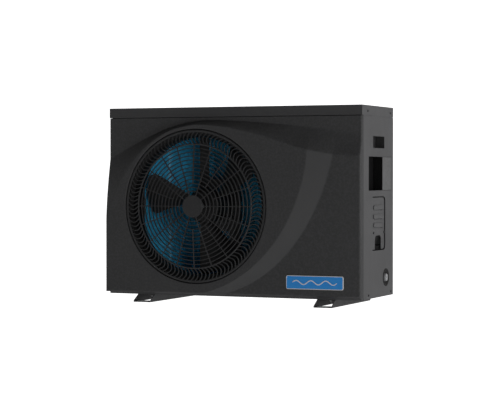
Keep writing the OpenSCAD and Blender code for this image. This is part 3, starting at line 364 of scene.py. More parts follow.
    def touch(self, inside: Tree) -> Outputs:
        """Broad patches where handling and rain have changed the gloss.

        Args:
            inside: the group's tree.

        Returns:
            Its Height and Mask.
        """
        broad = self.cloud(inside, per_metre=5.0, detail=4.0)
        streak = self.cloud(inside, per_metre=30.0, detail=3.0, stretch=(1.0, 1.0, 0.25))
        both = inside.plus_share(broad, streak, share=0.5)
        return {"Height": both, "Mask": inside.ramp(both, low=0.45, high=1.05)}


EFFECTS = Effects()
MATERIALS: dict[str, bpy.types.Material] = {}


@dataclass(frozen=True)
class Finish:
    """One finish, with all that its material needs."""

    label: str
    colour: Rgb
    roughness: float
    skin: Effect = Effect.PEEL
    skin_scale: float = 1.0
    relief_mm: float = 0.02
    metallic: float = 0.0
    specular: float = 0.5
    coat: float = 0.0
    tone: float = 0.12
    wear: float = 0.25
    wear_colour: Rgb = (0.16, 0.16, 0.165)
    edge_mm: float = 0.7
    dust: float = 0.12
    dust_colour: Rgb = (0.20, 0.19, 0.17)
    gloss_change: float = 0.12

    def placed(self, tree: Tree, effect: Effect, scale: float) -> bpy.types.Node:
        """Puts an effect's group into the material.

        Args:
            tree: the material's tree.
            effect: which effect.
            scale: its Scale input.

        Returns:
            The group node.
        """
        node = tree.add("ShaderNodeGroup", node_tree=EFFECTS.group(effect))
        node.inputs["Scale"].default_value = scale
        return node

    def marked(self, tree: Tree, colour: Socket) -> Socket:
        """A plain finish has no second tone, so the colour stays."""
        return colour

    def material(self) -> bpy.types.Material:
        """Makes the finish's material, or gives the one already made.

        Returns:
            The material.
        """
        if self.label in MATERIALS:
            return MATERIALS[self.label]
        made = MATERIALS[self.label] = bpy.data.materials.new(f"{self.label}_finish")
        made.use_nodes = True
        made.node_tree.nodes.clear()
        tree = Tree(made.node_tree)
        shader = tree.add("ShaderNodeBsdfPrincipled")
        output = tree.add("ShaderNodeOutputMaterial")
        tree.join(shader.outputs[0], output.inputs[0])
        skin = self.placed(tree, self.skin, self.skin_scale)
        wear = self.placed(tree, Effect.WEAR, self.edge_mm)
        dust = self.placed(tree, Effect.DUST, 1.0)
        touch = self.placed(tree, Effect.TOUCH, 1.0)
        lighter = tuple(min(1.0, c * (1 + self.tone * TONE_GAIN)) for c in self.colour)
        colour = self.marked(tree, tree.tint(skin.outputs["Mask"], self.colour, lighter))
        rubbed = tree.math("MULTIPLY", wear.outputs["Mask"], self.wear)
        colour = tree.tint(rubbed, colour, self.wear_colour)
        dusty = tree.math("MULTIPLY", dust.outputs["Mask"], self.dust)
        colour = tree.tint(dusty, colour, self.dust_colour)
        tree.join(colour, shader.inputs["Base Color"])
        change = tree.math("MULTIPLY", touch.outputs["Mask"], self.gloss_change)
        rough = tree.math("ADD", change, self.roughness - self.gloss_change / 2)
        rough = tree.plus_share(rough, dusty, DUST_ROUGHNESS)
        tree.join(tree.math("MINIMUM", rough, 1.0), shader.inputs["Roughness"])
        tree.join(self.metallic, shader.inputs["Metallic"])
        tree.join(self.specular, shader.inputs["Specular IOR Level"])
        tree.join(self.coat, shader.inputs["Coat Weight"])
        bump = tree.add("ShaderNodeBump")
        tree.join(1.0, bump.inputs["Strength"])
        tree.join(self.relief_mm * MM, bump.inputs["Distance"])
        tree.join(skin.outputs["Height"], bump.inputs["Height"])
        tree.join(bump.outputs["Normal"], shader.inputs["Normal"])
        return made


@dataclass(frozen=True)
class HighlightBandFinish(Finish):
    """A moulding with a painted highlight: a lighter band of colour, where the mesh's band
    attribute says so, in place of the light on the sloping band.
    """

    band_highlight_colour: Rgb = (0.078, 0.078, 0.080)
    attribute: str = "band"

    def marked(self, tree: Tree, colour: Socket) -> Socket:
        """Lays the band's painted highlight colour over the moulding's.

        Args:
            tree: the material's tree.
            colour: the moulding's colour.

        Returns:
            The colour with its band.
        """
        here = tree.add("ShaderNodeAttribute", attribute_name=self.attribute).outputs["Fac"]
        return tree.tint(here, colour, self.band_highlight_colour)


@dataclass(frozen=True)
class Moulded(Finish):
    """A grained plastic moulding of one colour."""

    skin: Effect = Effect.GRAIN


@dataclass(frozen=True)
class BareMetal(Finish):
    """Metal with no paint, rolled, drawn or ground."""

    skin: Effect = Effect.BRUSH
    relief_mm: float = 0.01
    metallic: float = 1.0


CHARCOAL_SHEET = Finish("charcoal_sheet", (0.090, 0.090, 0.093), 0.56)
# The moulding's sloping band carries a painted highlight: a lighter colour in place of the light
# that falls on it.
CHARCOAL_MOULDING = HighlightBandFinish(
    "charcoal_moulding", (0.052, 0.052, 0.0535), 0.62, Effect.GRAIN, relief_mm=0.03, wear=0.12
)
PLATE_GREY = Moulded("plate_grey", (0.13, 0.13, 0.132), 0.55)
BLACK_PLASTIC = Moulded("black_plastic", (0.022, 0.022, 0.023), 0.5, wear=0.15)
GRILLE_BLACK = Moulded(
    "grille_black", (0.032, 0.032, 0.0335), 0.5, relief_mm=0.01, wear=0.1, dust=0.1
)
FAN_BLACK = Moulded("fan_black", (0.014, 0.014, 0.0145), 0.5, wear=0.05, dust=0.05)
BADGE_BLUE = Finish(
    "badge_blue", (0.002, 0.33, 0.95), 0.3, relief_mm=0.004, coat=0.5,
    tone=0.04, wear=0.1, dust=0.0, gloss_change=0.04,
)
BADGE_WHITE = Finish(
    "badge_white", (0.93, 0.94, 0.95), 0.35, relief_mm=0.004,
    tone=0.02, wear=0.0, dust=0.02, gloss_change=0.04,
)
ZINC = BareMetal(
    "zinc", (0.55, 0.56, 0.56), 0.36, wear_colour=(0.75, 0.75, 0.74), dust_colour=(0.3, 0.28, 0.25)
)
GROUND_STEEL = BareMetal(
    "ground_steel", (0.58, 0.57, 0.55), 0.25, relief_mm=0.006, wear_colour=(0.8, 0.8, 0.78)
)
LAMINATION = BareMetal(
    "lamination", (0.30, 0.29, 0.28), 0.45, metallic=0.9, relief_mm=0.03,
    wear_colour=(0.5, 0.5, 0.48),
)
MOTOR_ENAMEL = Finish(
    "motor_enamel", (0.045, 0.045, 0.047), 0.42, Effect.CAST, relief_mm=0.08, coat=0.15
)
COMPRESSOR_ENAMEL = Finish(
    "compressor_enamel", (0.018, 0.018, 0.019), 0.28, Effect.CAST, relief_mm=0.05, coat=0.4
)
COPPER = BareMetal(
    "copper", (0.72, 0.32, 0.19), 0.3, tone=0.2,
    wear_colour=(0.85, 0.5, 0.35), dust_colour=(0.25, 0.14, 0.08),
)
BRASS = BareMetal("brass", (0.68, 0.47, 0.2), 0.3, wear_colour=(0.85, 0.68, 0.4))
BLUE_FINS = Finish(
    "blue_fins", (0.03, 0.31, 0.50), 0.42, Effect.BRUSH, relief_mm=0.01,
    tone=0.15, wear=0.2, wear_colour=(0.3, 0.5, 0.6), dust=0.05, edge_mm=0.2,
)
ALUMINIUM = BareMetal("aluminium", (0.66, 0.67, 0.68), 0.32, wear_colour=(0.85, 0.85, 0.85))
RUBBER = Finish(
    "rubber", (0.015, 0.015, 0.015), 0.8, Effect.CAST, relief_mm=0.05, wear=0.1, dust=0.3
)
PVC = Moulded(
    "pvc", (0.42, 0.43, 0.44), 0.4, relief_mm=0.01, tone=0.04, wear=0.1,
    wear_colour=(0.6, 0.6, 0.6),
)
TERMINAL_NYLON = Moulded(
    "terminal_nylon", (0.62, 0.60, 0.52), 0.5, relief_mm=0.01, tone=0.05, wear=0.1,
    wear_colour=(0.8, 0.8, 0.75),
)
BOARD_GREEN = Finish("board_green", (0.01, 0.12, 0.05), 0.35, coat=0.4, tone=0.3)
CAPACITOR_SLEEVE = Finish(
    "capacitor_sleeve", (0.02, 0.03, 0.06), 0.25, relief_mm=0.005, coat=0.5
)
# Painted shade: near-black materials for the deep faces of the side panel's scoop, grip pocket and
# cover recess, and for the scoop plate's front.
RECESS_SHADE = Moulded(
    "recess_shade", (0.006, 0.006, 0.0063), 0.75, specular=0.15, wear=0.02, dust=0.04
)
POCKET_SHADE = Moulded("pocket_shade", (0.03, 0.03, 0.031), 0.6, wear=0.03)
# Painted shade: the foot rails take a darker colour because they stand in the shade under the
# cabinet.
FOOT_SHADE = Finish("foot_shade", (0.045, 0.045, 0.047), 0.5, wear=0.4)
# Painted shade: a darker copy of the charcoal sheet for the lid's front face, where less light
# falls.
LID_FRONT_SHADE = Finish("lid_front_shade", (0.062, 0.062, 0.064), 0.56)
SCREW_BLACK = BareMetal(
    "screw_black", (0.02, 0.02, 0.021), 0.35, metallic=0.6, wear=0.5,
    wear_colour=(0.35, 0.35, 0.35),
)
FINISHES: dict[str, Finish] = {
    finish.label: finish
    for finish in (
        CHARCOAL_SHEET, CHARCOAL_MOULDING, PLATE_GREY, BLACK_PLASTIC, GRILLE_BLACK,
        FAN_BLACK, BADGE_BLUE, ZINC, GROUND_STEEL, LAMINATION, MOTOR_ENAMEL,
        COMPRESSOR_ENAMEL, COPPER, BRASS, BLUE_FINS, ALUMINIUM, RUBBER, PVC,
        TERMINAL_NYLON, BOARD_GREEN, CAPACITOR_SLEEVE, SCREW_BLACK,
    )
}


# ---- Mesh making ----


class Skin:
    """Vertices and faces of one piece, gathered in millimetres."""

    def __init__(self) -> None:
        """Starts empty."""
        self.points: list[Array] = []
        self.faces: list[tuple[int, ...]] = []
        self.marks: list[int] = []
        self.count = 0

    def loft(
        self, rings: Array, loop: bool = False, caps: bool = False, mark: int = 0
    ) -> None:
        """Joins closed rings of points with quads.

        Args:
            rings: an array of rings, each the same number of points.
            loop: whether the last ring joins the first.
            caps: whether the first and last rings are filled.
            mark: the number of the finish that these faces take.
        """
        grid = np.asarray(rings, float)
        rows, cols = grid.shape[:2]
        base = self.count
        self.points.append(grid.reshape(-1, 3))
        self.count += rows * cols
        for i in range(rows if loop else rows - 1):
            a, b = base + i * cols, base + ((i + 1) % rows) * cols
            for j in range(cols):
                k = (j + 1) % cols
                self.faces.append((a + j, a + k, b + k, b + j))
        if caps:
            self.faces.append(tuple(base + j for j in reversed(range(cols))))
            self.faces.append(tuple(base + (rows - 1) * cols + j for j in range(cols)))
        self.marks += [mark] * (len(self.faces) - len(self.marks))

    def piece(
        self, name: str, body: str, finishes: Sequence[Finish],
        replaces: Sequence[str] = (), sharp_deg: float = 40.0,
    ) -> bpy.types.Object:
        """Makes the object, dresses it and hangs it on its body.

        Args:
            name: the piece's name.
            body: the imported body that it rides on.
            finishes: the finishes, in the order of the faces' marks.
            replaces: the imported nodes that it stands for.
            sharp_deg: edges sharper than this stay sharp.

        Returns:
            The new object.
        """
        mesh = bpy.data.meshes.new(name)
        mesh.from_pydata((np.concatenate(self.points) * MM).tolist(), [], self.faces)
        mesh.validate()
        work = bmesh.new()
        work.from_mesh(mesh)
        bmesh.ops.recalc_face_normals(work, faces=work.faces)
        work.to_mesh(mesh)
        work.free()
        for finish in finishes:
            mesh.materials.append(finish.material())
        if len(self.marks) == len(mesh.polygons):
            mesh.polygons.foreach_set("material_index", self.marks)
        mesh.shade_smooth()
        mesh.set_sharp_from_angle(angle=math.radians(sharp_deg))
        made = bpy.data.objects.new(name, mesh)
        bpy.context.scene.collection.objects.link(made)
        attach(made, body)
        if replaces:
            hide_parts(*replaces)
        LOG.info("%s: %d faces on %s", name, len(mesh.polygons), body)
        return made


def box_mm(node: str) -> tuple[Array, Array]:
    """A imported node's lowest and highest corners, in millimetres."""
    low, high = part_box(node)
    return np.array(low) / MM, np.array(high) / MM


def islands(node: str) -> list[tuple[Array, Array]]:
    """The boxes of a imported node's separate solids.

    Args:
        node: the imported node.

    Returns:
        The lowest and highest corners of each solid, in millimetres.
    """
    work = bmesh.new()
    work.from_mesh(frame["nodes"][node].data)
    bmesh.ops.remove_doubles(work, verts=work.verts, dist=WELD_M)
    seen: set[int] = set()
    boxes = []
    for start in work.verts:
        if start.index in seen:
            continue
        stack, group = [start], []
        seen.add(start.index)
        while stack:
            v = stack.pop()
            group.append(tuple(v.co))
            for edge in v.link_edges:
                other = edge.other_vert(v)
                if other.index not in seen:
                    seen.add(other.index)
                    stack.append(other)
        group_mm = np.array(group) / MM
        boxes.append((group_mm.min(0), group_mm.max(0)))
    work.free()
    return boxes


def circle(steps: int) -> Array:
    """The angles of evenly spaced points round a circle, in radians."""
    return np.linspace(0, math.tau, steps, endpoint=False)


def at(x: object, y: object, z: object) -> Array:
    """Points from their coordinates, where a plain value holds for all of them."""
    return np.stack(np.broadcast_arrays(x, y, z), -1)


def turned(profile: Sequence[tuple[float, float]], centre: Point, steps: int) -> Array:
    """Rings of a profile turned round an axis along Y.

    Args:
        profile: (radius, y) pairs.
        centre: a point on the axis; its y is added to the profile's.
        steps: points in a ring.

    Returns:
        The rings.
    """
    cos, sin = np.cos(circle(steps)), np.sin(circle(steps))
    x, y, z = centre
    return np.array([at(x + r * cos, y + depth, z + r * sin) for r, depth in profile])


def smooth(t: Array) -> Array:
    """A smooth step of a share, clamped to 0 and 1."""
    c = np.clip(t, 0.0, 1.0)
    return c * c * (3 - 2 * c)


# ---- Front panel ----


@dataclass(frozen=True)
class Arc:
    """Part of an ellipse that gives one coordinate round the fan axis from the other."""

    base: float
    reach: float
    mid: float
    half: float

    def value(self, t: Array) -> Array:
        """The arc's coordinate, which stays at its base past its ends."""
        rest = np.clip(1 - ((self.mid - t) / self.half) ** 2, 0, None)
        return self.base + self.reach * np.sqrt(rest)


@dataclass
class MouldedFront:
    """The deep front moulding: raised fan field, sloped shoulder, sloping band."""

    wall: float = 2.5
    edge: float = 6.0
    top_share: float = 0.2
    lip: float = 2.0
    side_return: float = 14.0
    opening: float = 260.0
    fan_field: float = 31.0
    side_field: float = 15.4
    crease_top: float = 1.5
    crease_foot: float = 1.25
    crease_turn: float = 270.0
    crease_reach: float = 110.0
    around: int = 720
    across: int = 96
    inner: int = 14
    lip_steps: int = 3
    edge_steps: int = 6
    rim_proud: float = 1.0
    shoulder_mid: float = 44.0
    shoulder_left: float = 336.0
    shoulder_climb: float = 380.0
    shoulder_right: float = 536.0
    shoulder_start: float = 157.0
    shoulder_rise: float = 132.0
    shoulder_fall: float = 50.0
    shoulder_power: float = 1.5
    least_slope: float = 14.0
    crest_arc: Arc = Arc(-218.0, 491.0, 9.0, 360.0)
    crest_low: float = 168.0
    crest_drop: float = 104.0
    crest_run: float = 560.0
    band_near: Arc = Arc(-66.0, 472.0, 238.0, 540.0)
    band_far: Arc = Arc(15.0, 489.0, 338.0, 640.0)
    band_edge: float = 3.0
    band_foot: float = -330.0
    band_fade: float = 130.0

    def __post_init__(self) -> None:
        """Takes the panel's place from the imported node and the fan's from the fan."""
        self.low, self.high = box_mm("front_panel")
        self.front = self.low[1] + self.fan_field
        fan_low, fan_high = box_mm("fan_shroud")
        self.axis = ((fan_low[0] + fan_high[0]) / 2, (fan_low[2] + fan_high[2]) / 2)

    def shoulder_top(self, u: Array) -> Array:
        """Where the sloped shoulder starts.

        Args:
            u: distances right of the fan axis.

        Returns:
            The shoulder's height above the axis at each.
        """
        climb = np.radians(90 * (u + self.shoulder_left) / self.shoulder_climb)
        left = self.shoulder_start + self.shoulder_rise * np.sin(climb)
        past = np.clip((u - self.shoulder_mid) / self.shoulder_right, 0, None)
        peak = self.shoulder_start + self.shoulder_rise
        right = peak - self.shoulder_fall * past**self.shoulder_power
        return np.where(u < self.shoulder_mid, left, right)

    def crest(self, u: Array) -> Array:
        """Where the crest round the raised fan field runs.

        Args:
            u: distances right of the fan axis.

        Returns:
            The crest's height above the axis at each.
        """
        middle = self.crest_arc.mid
        turn = np.radians(np.clip(180 * (u - middle) / self.crest_run, 0, 180))
        right = self.crest_low + self.crest_drop * (0.5 + 0.5 * np.cos(turn))
        return np.where(u < middle, self.crest_arc.value(u), right)

    def face(self, x: Array, z: Array) -> Array:
        """The Y of the panel's face at a place.

        Args:
            x: places along X.
            z: places along Z.

        Returns:
            The Y of each place.
        """
        u, v = x - self.axis[0], z - self.axis[1]
        top = self.shoulder_top(u)
        foot = np.minimum(self.crest(u), top - self.least_slope)
        share = np.clip((top - v) / (top - foot), 0, 1)
        early = 1 - (1 - share) ** self.crease_top
        late = share**self.crease_foot
        turn = smooth((u - self.crease_turn) / self.crease_reach)
        rise = early + (late - early) * turn
        near, far = self.band_near.value(v), self.band_far.value(v)
        side = np.clip((u - near) / (far - near), 0, 1)
        return self.front - rise * (self.fan_field + (self.side_field - self.fan_field) * side)

    def outline(self) -> Array:
        """Points round the panel's edge, anticlockwise seen from the front.

        Returns:
            An array of (x, z).
        """
        width, height = self.high[0] - self.low[0], self.high[2] - self.low[2]
        side = round(self.around * height / (2 * (width + height)))
        flat = self.around // 2 - side
        up = np.linspace(0, 1, side, endpoint=False)
        along = np.linspace(0, 1, flat, endpoint=False)
        x0, x1, z0, z1 = self.low[0], self.high[0], self.low[2], self.high[2]
        parts = [
            np.stack([np.full(side, x0), z0 + height * up], 1),
            np.stack([x0 + width * along, np.full(flat, z1)], 1),
            np.stack([np.full(side, x1), z1 - height * up], 1),
            np.stack([x1 - width * along, np.full(flat, z0)], 1),
        ]
        return np.concatenate(parts)

    def pulled_in(self, p: Array, by: float) -> Array:
        """Moves outline points in from the panel's edges, and less under the lid.

        Args:
            p: the outline's points.
            by: how far they move.

        Returns:
            The moved points.
        """
        low = np.array([self.low[0] + by, self.low[2] + by])
        high = np.array([self.high[0] - by, self.high[2] - by * self.top_share])
        return np.clip(p, low, high)

    def ring(self, p: Array, r: float) -> Array:
        """The points of a circle round the fan axis that face outline points."""
        away = p - np.array(self.axis)
        return np.array(self.axis) + away * (r / np.linalg.norm(away, axis=1))[:, None]

    def build(self) -> bpy.types.Object:
        """Builds the panel.

        Returns:
            The piece.
        """
        p = self.outline()
        rows: list[Array] = []

        def row(q: Array, y: object) -> None:
            """Adds the ring of outline points at a depth."""
            rows.append(at(q[:, 0], y, q[:, 1]))

        back = self.front + self.side_return
        rim, start = self.ring(p, self.opening), self.ring(p, self.opening + self.lip)
        lip_y = self.face(start[:, 0], start[:, 1])
        row(rim, self.front - self.rim_proud)
        for turn in np.radians(np.linspace(0, 90, self.lip_steps + 1)):
            q = self.ring(p, self.opening + self.lip * (1 - math.cos(turn)))
            row(q, lip_y + self.lip * (1 - math.sin(turn)))
        inside = self.pulled_in(p, self.edge)
        for t in np.linspace(0, 1, self.across)[1:]:
            q = start + (inside - start) * t
            row(q, self.face(q[:, 0], q[:, 1]))
        edge_y = self.face(inside[:, 0], inside[:, 1])
        for turn in np.radians(np.linspace(0, 90, self.edge_steps + 1))[1:]:
            q = self.pulled_in(p, self.edge * (1 - math.sin(turn)))
            row(q, edge_y + self.edge * (1 - math.cos(turn)))
        row(p, back)
        inner_edge = self.pulled_in(p, self.wall)
        row(inner_edge, back)
        row(inner_edge, edge_y + self.edge + self.wall)
        rim_in = self.ring(p, self.opening + self.wall + self.lip)
        far = self.pulled_in(p, self.edge + self.wall / 2)
        for t in np.linspace(1, 0, self.inner):
            q = rim_in + (far - rim_in) * t
            row(q, self.face(q[:, 0], q[:, 1]) + self.wall)
        row(rim_in, self.front - self.rim_proud)
        skin = Skin()
        skin.loft(np.array(rows), loop=True)
        made = skin.piece(
            "moulded_front", "cabinet", [CHARCOAL_MOULDING], ["front_panel"]
        )
        self.paint_band_highlight(made.data)
        return made

    def paint_band_highlight(self, mesh: bpy.types.Mesh) -> None:
        """Writes where the sloping band lies, for the painted highlight that lightens it.

        Args:
            mesh: the panel's mesh.
        """
        count = len(mesh.vertices)
        place = np.empty(count * 3)
        mesh.vertices.foreach_get("co", place)
        x, _, z = (place.reshape(-1, 3) / MM).T
        u, v = x - self.axis[0], z - self.axis[1]
        near, far = self.band_near.value(v), self.band_far.value(v)
        inside = np.clip(np.minimum(u - near, far - u) / self.band_edge + 0.5, 0, 1)
        below = np.clip((self.crest(u) - v) / self.band_edge + 0.5, 0, 1)
        fade = smooth((v - self.band_foot) / self.band_fade)
        # Painted highlight: how much of the lighter band colour each point takes.
        marks = mesh.attributes.new("band", "FLOAT", "POINT")
        marks.data.foreach_set("value", (inside * below * fade).astype(np.float32))


@dataclass
class Nameplate:
    """The blue plate with a pale rim and a plain wave, and no mark or letter."""

    corner: float = 6.0
    least_corner: float = 0.5
    corner_steps: int = 8
    round_off: float = 0.7
    wave_length: float = 52.0
    wave_height: float = 6.5
    wave_points: int = 97
    wave_proud: float = 0.5
    stroke: float = 3.4
    stroke_form: Pairs = ((-1, 0.45), (-0.85, -0.35), (0, -0.48), (0.85, -0.35), (1, 0.45))
    taper_run: float = 6.0
    taper_least: float = 0.15
    margin: float = 22.0
    rim_w: float = 2.2
    field_steps: tuple[float, float] = (2.7, 3.6)
    field_down: float = 0.35

    def __post_init__(self) -> None:
        """Takes the plate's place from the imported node."""
        self.low, self.high = box_mm("badge")

    def loop(self, by: float, y: float) -> Array:
        """The plate's outline, pulled in at one depth.

        Args:
            by: how far it is pulled in.
            y: its depth.

        Returns:
            The outline's points.
        """
        r = max(self.corner - by, self.least_corner)
        x0, x1 = self.low[0] + by + r, self.high[0] - by - r
        z0, z1 = self.low[2] + by + r, self.high[2] - by - r
        points = []
        for cx, cz, start in ((x1, z0, -90), (x1, z1, 0), (x0, z1, 90), (x0, z0, 180)):
            for k in range(self.corner_steps + 1):
                a = math.radians(start + 90 / self.corner_steps * k)
                points.append((cx + r * math.cos(a), y, cz + r * math.sin(a)))
        return np.array(points)

    def build(self) -> bpy.types.Object:
        """Builds the plate with its wave.

        Returns:
            The piece.
        """
        face = self.low[1] + self.wave_proud
        rows = [self.loop(0, self.high[1]), self.loop(0, face + self.round_off)]
        for a in np.radians([30, 60, 90]):
            down = self.round_off * (1 - math.sin(a))
            rows.append(self.loop(self.round_off * (1 - math.cos(a)), face + down))
        rim_faces = len(rows) * len(rows[0])
        rows.append(self.loop(self.rim_w, face))
        rows += [self.loop(by, face + self.field_down) for by in self.field_steps]
        skin = Skin()
        skin.loft(np.array(rows), caps=True)
        skin.marks[:rim_faces] = [1] * rim_faces
        middle_z = (self.low[2] + self.high[2]) / 2
        ends = self.low[0] + self.margin, self.high[0] - self.margin
        xs = np.linspace(*ends, self.wave_points)
        phase = (xs - xs[0]) * math.tau / self.wave_length
        zs = middle_z + self.wave_height * np.sin(phase)
        slope = self.wave_height * math.tau / self.wave_length * np.cos(phase)
        length = np.sqrt(1 + slope**2)
        inside = np.minimum(xs - xs[0], xs[-1] - xs) / self.taper_run
        end = np.clip(inside + self.taper_least, 0, 1) ** 0.5
        rings = []
        for share, depth in self.stroke_form:
            half = share * self.stroke / 2 * end
            rings.append(at(xs - half * slope / length, face + depth, zs + half / length))
        skin.loft(np.array(rings).transpose(1, 0, 2), caps=True, mark=1)
        return skin.piece(
            "nameplate", "cabinet", [BADGE_BLUE, BADGE_WHITE], ["badge"], 30
        )


# ---- Grille and fan ----


@dataclass
class FanGrille:
    """The domed grille: rings and spokes inside, bowed bars round the outside."""

    hub_r: float = 37.5
    rings: int = 13
    bars: int = 100
    bar_w: float = 3.0
    depth: float = 5.0
    dome: float = 20.0
    band_r: float = 208.0
    band_w: float = 5.0
    rim_w: float = 8.0
    bow_deg: float = 3.2
    spokes: int = 10
    short_start: float = 0.3
    overlap: float = 2.0
    nose: Pairs = ((-1, 1.1), (-0.7, 0.35), (0, 0.0), (0.7, 0.35), (1, 1.1))
    ring_points: int = 180
    spoke_points: int = 24
    bar_points: int = 9
    hub_points: int = 90
    core_r: float = 0.5
    hub_face: tuple[float, ...] = (12.0, 24.0, 33.5)
    hub_edge: Pairs = ((-1.2, -0.1), (0.0, 1.0))

    def __post_init__(self) -> None:
        """Takes the grille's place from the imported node."""
        self.low, self.high = box_mm("fan_grille")
        self.r = (self.high[0] - self.low[0]) / 2
        self.axis = ((self.low[0] + self.high[0]) / 2, (self.low[2] + self.high[2]) / 2)
        self.dome_r = (self.r**2 + self.dome**2) / (2 * self.dome)

    def face(self, r: Array) -> Array:
        """The Y of the grille's domed face at a radius."""
        return self.low[1] + self.dome_r - np.sqrt(self.dome_r**2 - r**2)

    def strip(
        self, skin: Skin, r: Array, angle: Array, width: float, loop: bool = False
    ) -> None:
        """Adds one round-nosed bar along a path over the dome.

        Args:
            skin: the skin to add to.
            r: the path's radii.
            angle: the path's angles, in radians.
            width: the bar's width.
            loop: whether the path closes.
        """
        path = np.stack([r * np.cos(angle), r * np.sin(angle)], 1)
        if loop:
            along = np.roll(path, -1, 0) - np.roll(path, 1, 0)
        else:
            along = np.gradient(path, axis=0)
        along /= np.linalg.norm(along, axis=1)[:, None]
        across = np.stack([-along[:, 1], along[:, 0]], 1)
        y = self.face(r)
        rings = []
        for share, drop in ((-1, self.depth), *self.nose, (1, self.depth)):
            q = path + across * (share * width / 2)
            rings.append(at(self.axis[0] + q[:, 0], y + drop, self.axis[1] + q[:, 1]))
        skin.loft(np.array(rings).transpose(1, 0, 2), loop=loop, caps=not loop)

    def build(self) -> bpy.types.Object:
        """Builds the grille.

        Returns:
            The piece.
        """
        skin = Skin()
        full = circle(self.ring_points)
        pitch = (self.band_r - self.hub_r) / self.rings
        hoops = [(self.hub_r + i * pitch, self.bar_w) for i in range(1, self.rings)]
        hoops += [(self.band_r, self.band_w), (self.r - self.rim_w / 2, self.rim_w)]
        for radius, width in hoops:
            self.strip(skin, np.full(self.ring_points, radius), full, width, True)
        starts = self.hub_r - self.overlap, self.short_start * self.r
        for i in range(2 * self.spokes):
            r = np.linspace(starts[i % 2], self.band_r, self.spoke_points)
            angle = math.radians(180 / self.spokes * i)
            self.strip(skin, r, np.full(self.spoke_points, angle), self.bar_w)
        r = np.linspace(self.band_r, self.r - self.rim_w + self.overlap, self.bar_points)
        share = (r - self.band_r) / (r[-1] - self.band_r)
        bow = np.radians(self.bow_deg * np.sin(np.pi * share))
        for i in range(self.bars):
            self.strip(skin, r, bow + math.tau * i / self.bars, self.bar_w)
        centre = (self.axis[0], 0.0, self.axis[1])
        profile = [(x, float(self.face(np.array(x)))) for x in (self.core_r, *self.hub_face)]
        edge = float(self.face(np.array(self.hub_r)))
        profile += [(self.hub_r + r_in, edge + down) for r_in, down in self.hub_edge]
        profile += [(self.hub_r, edge + self.depth), (self.core_r, edge + self.depth)]
        skin.loft(turned(profile, centre, self.hub_points), loop=True)
        return skin.piece(
            "domed_grille", "cabinet", [GRILLE_BLACK], ["fan_grille"]
        )


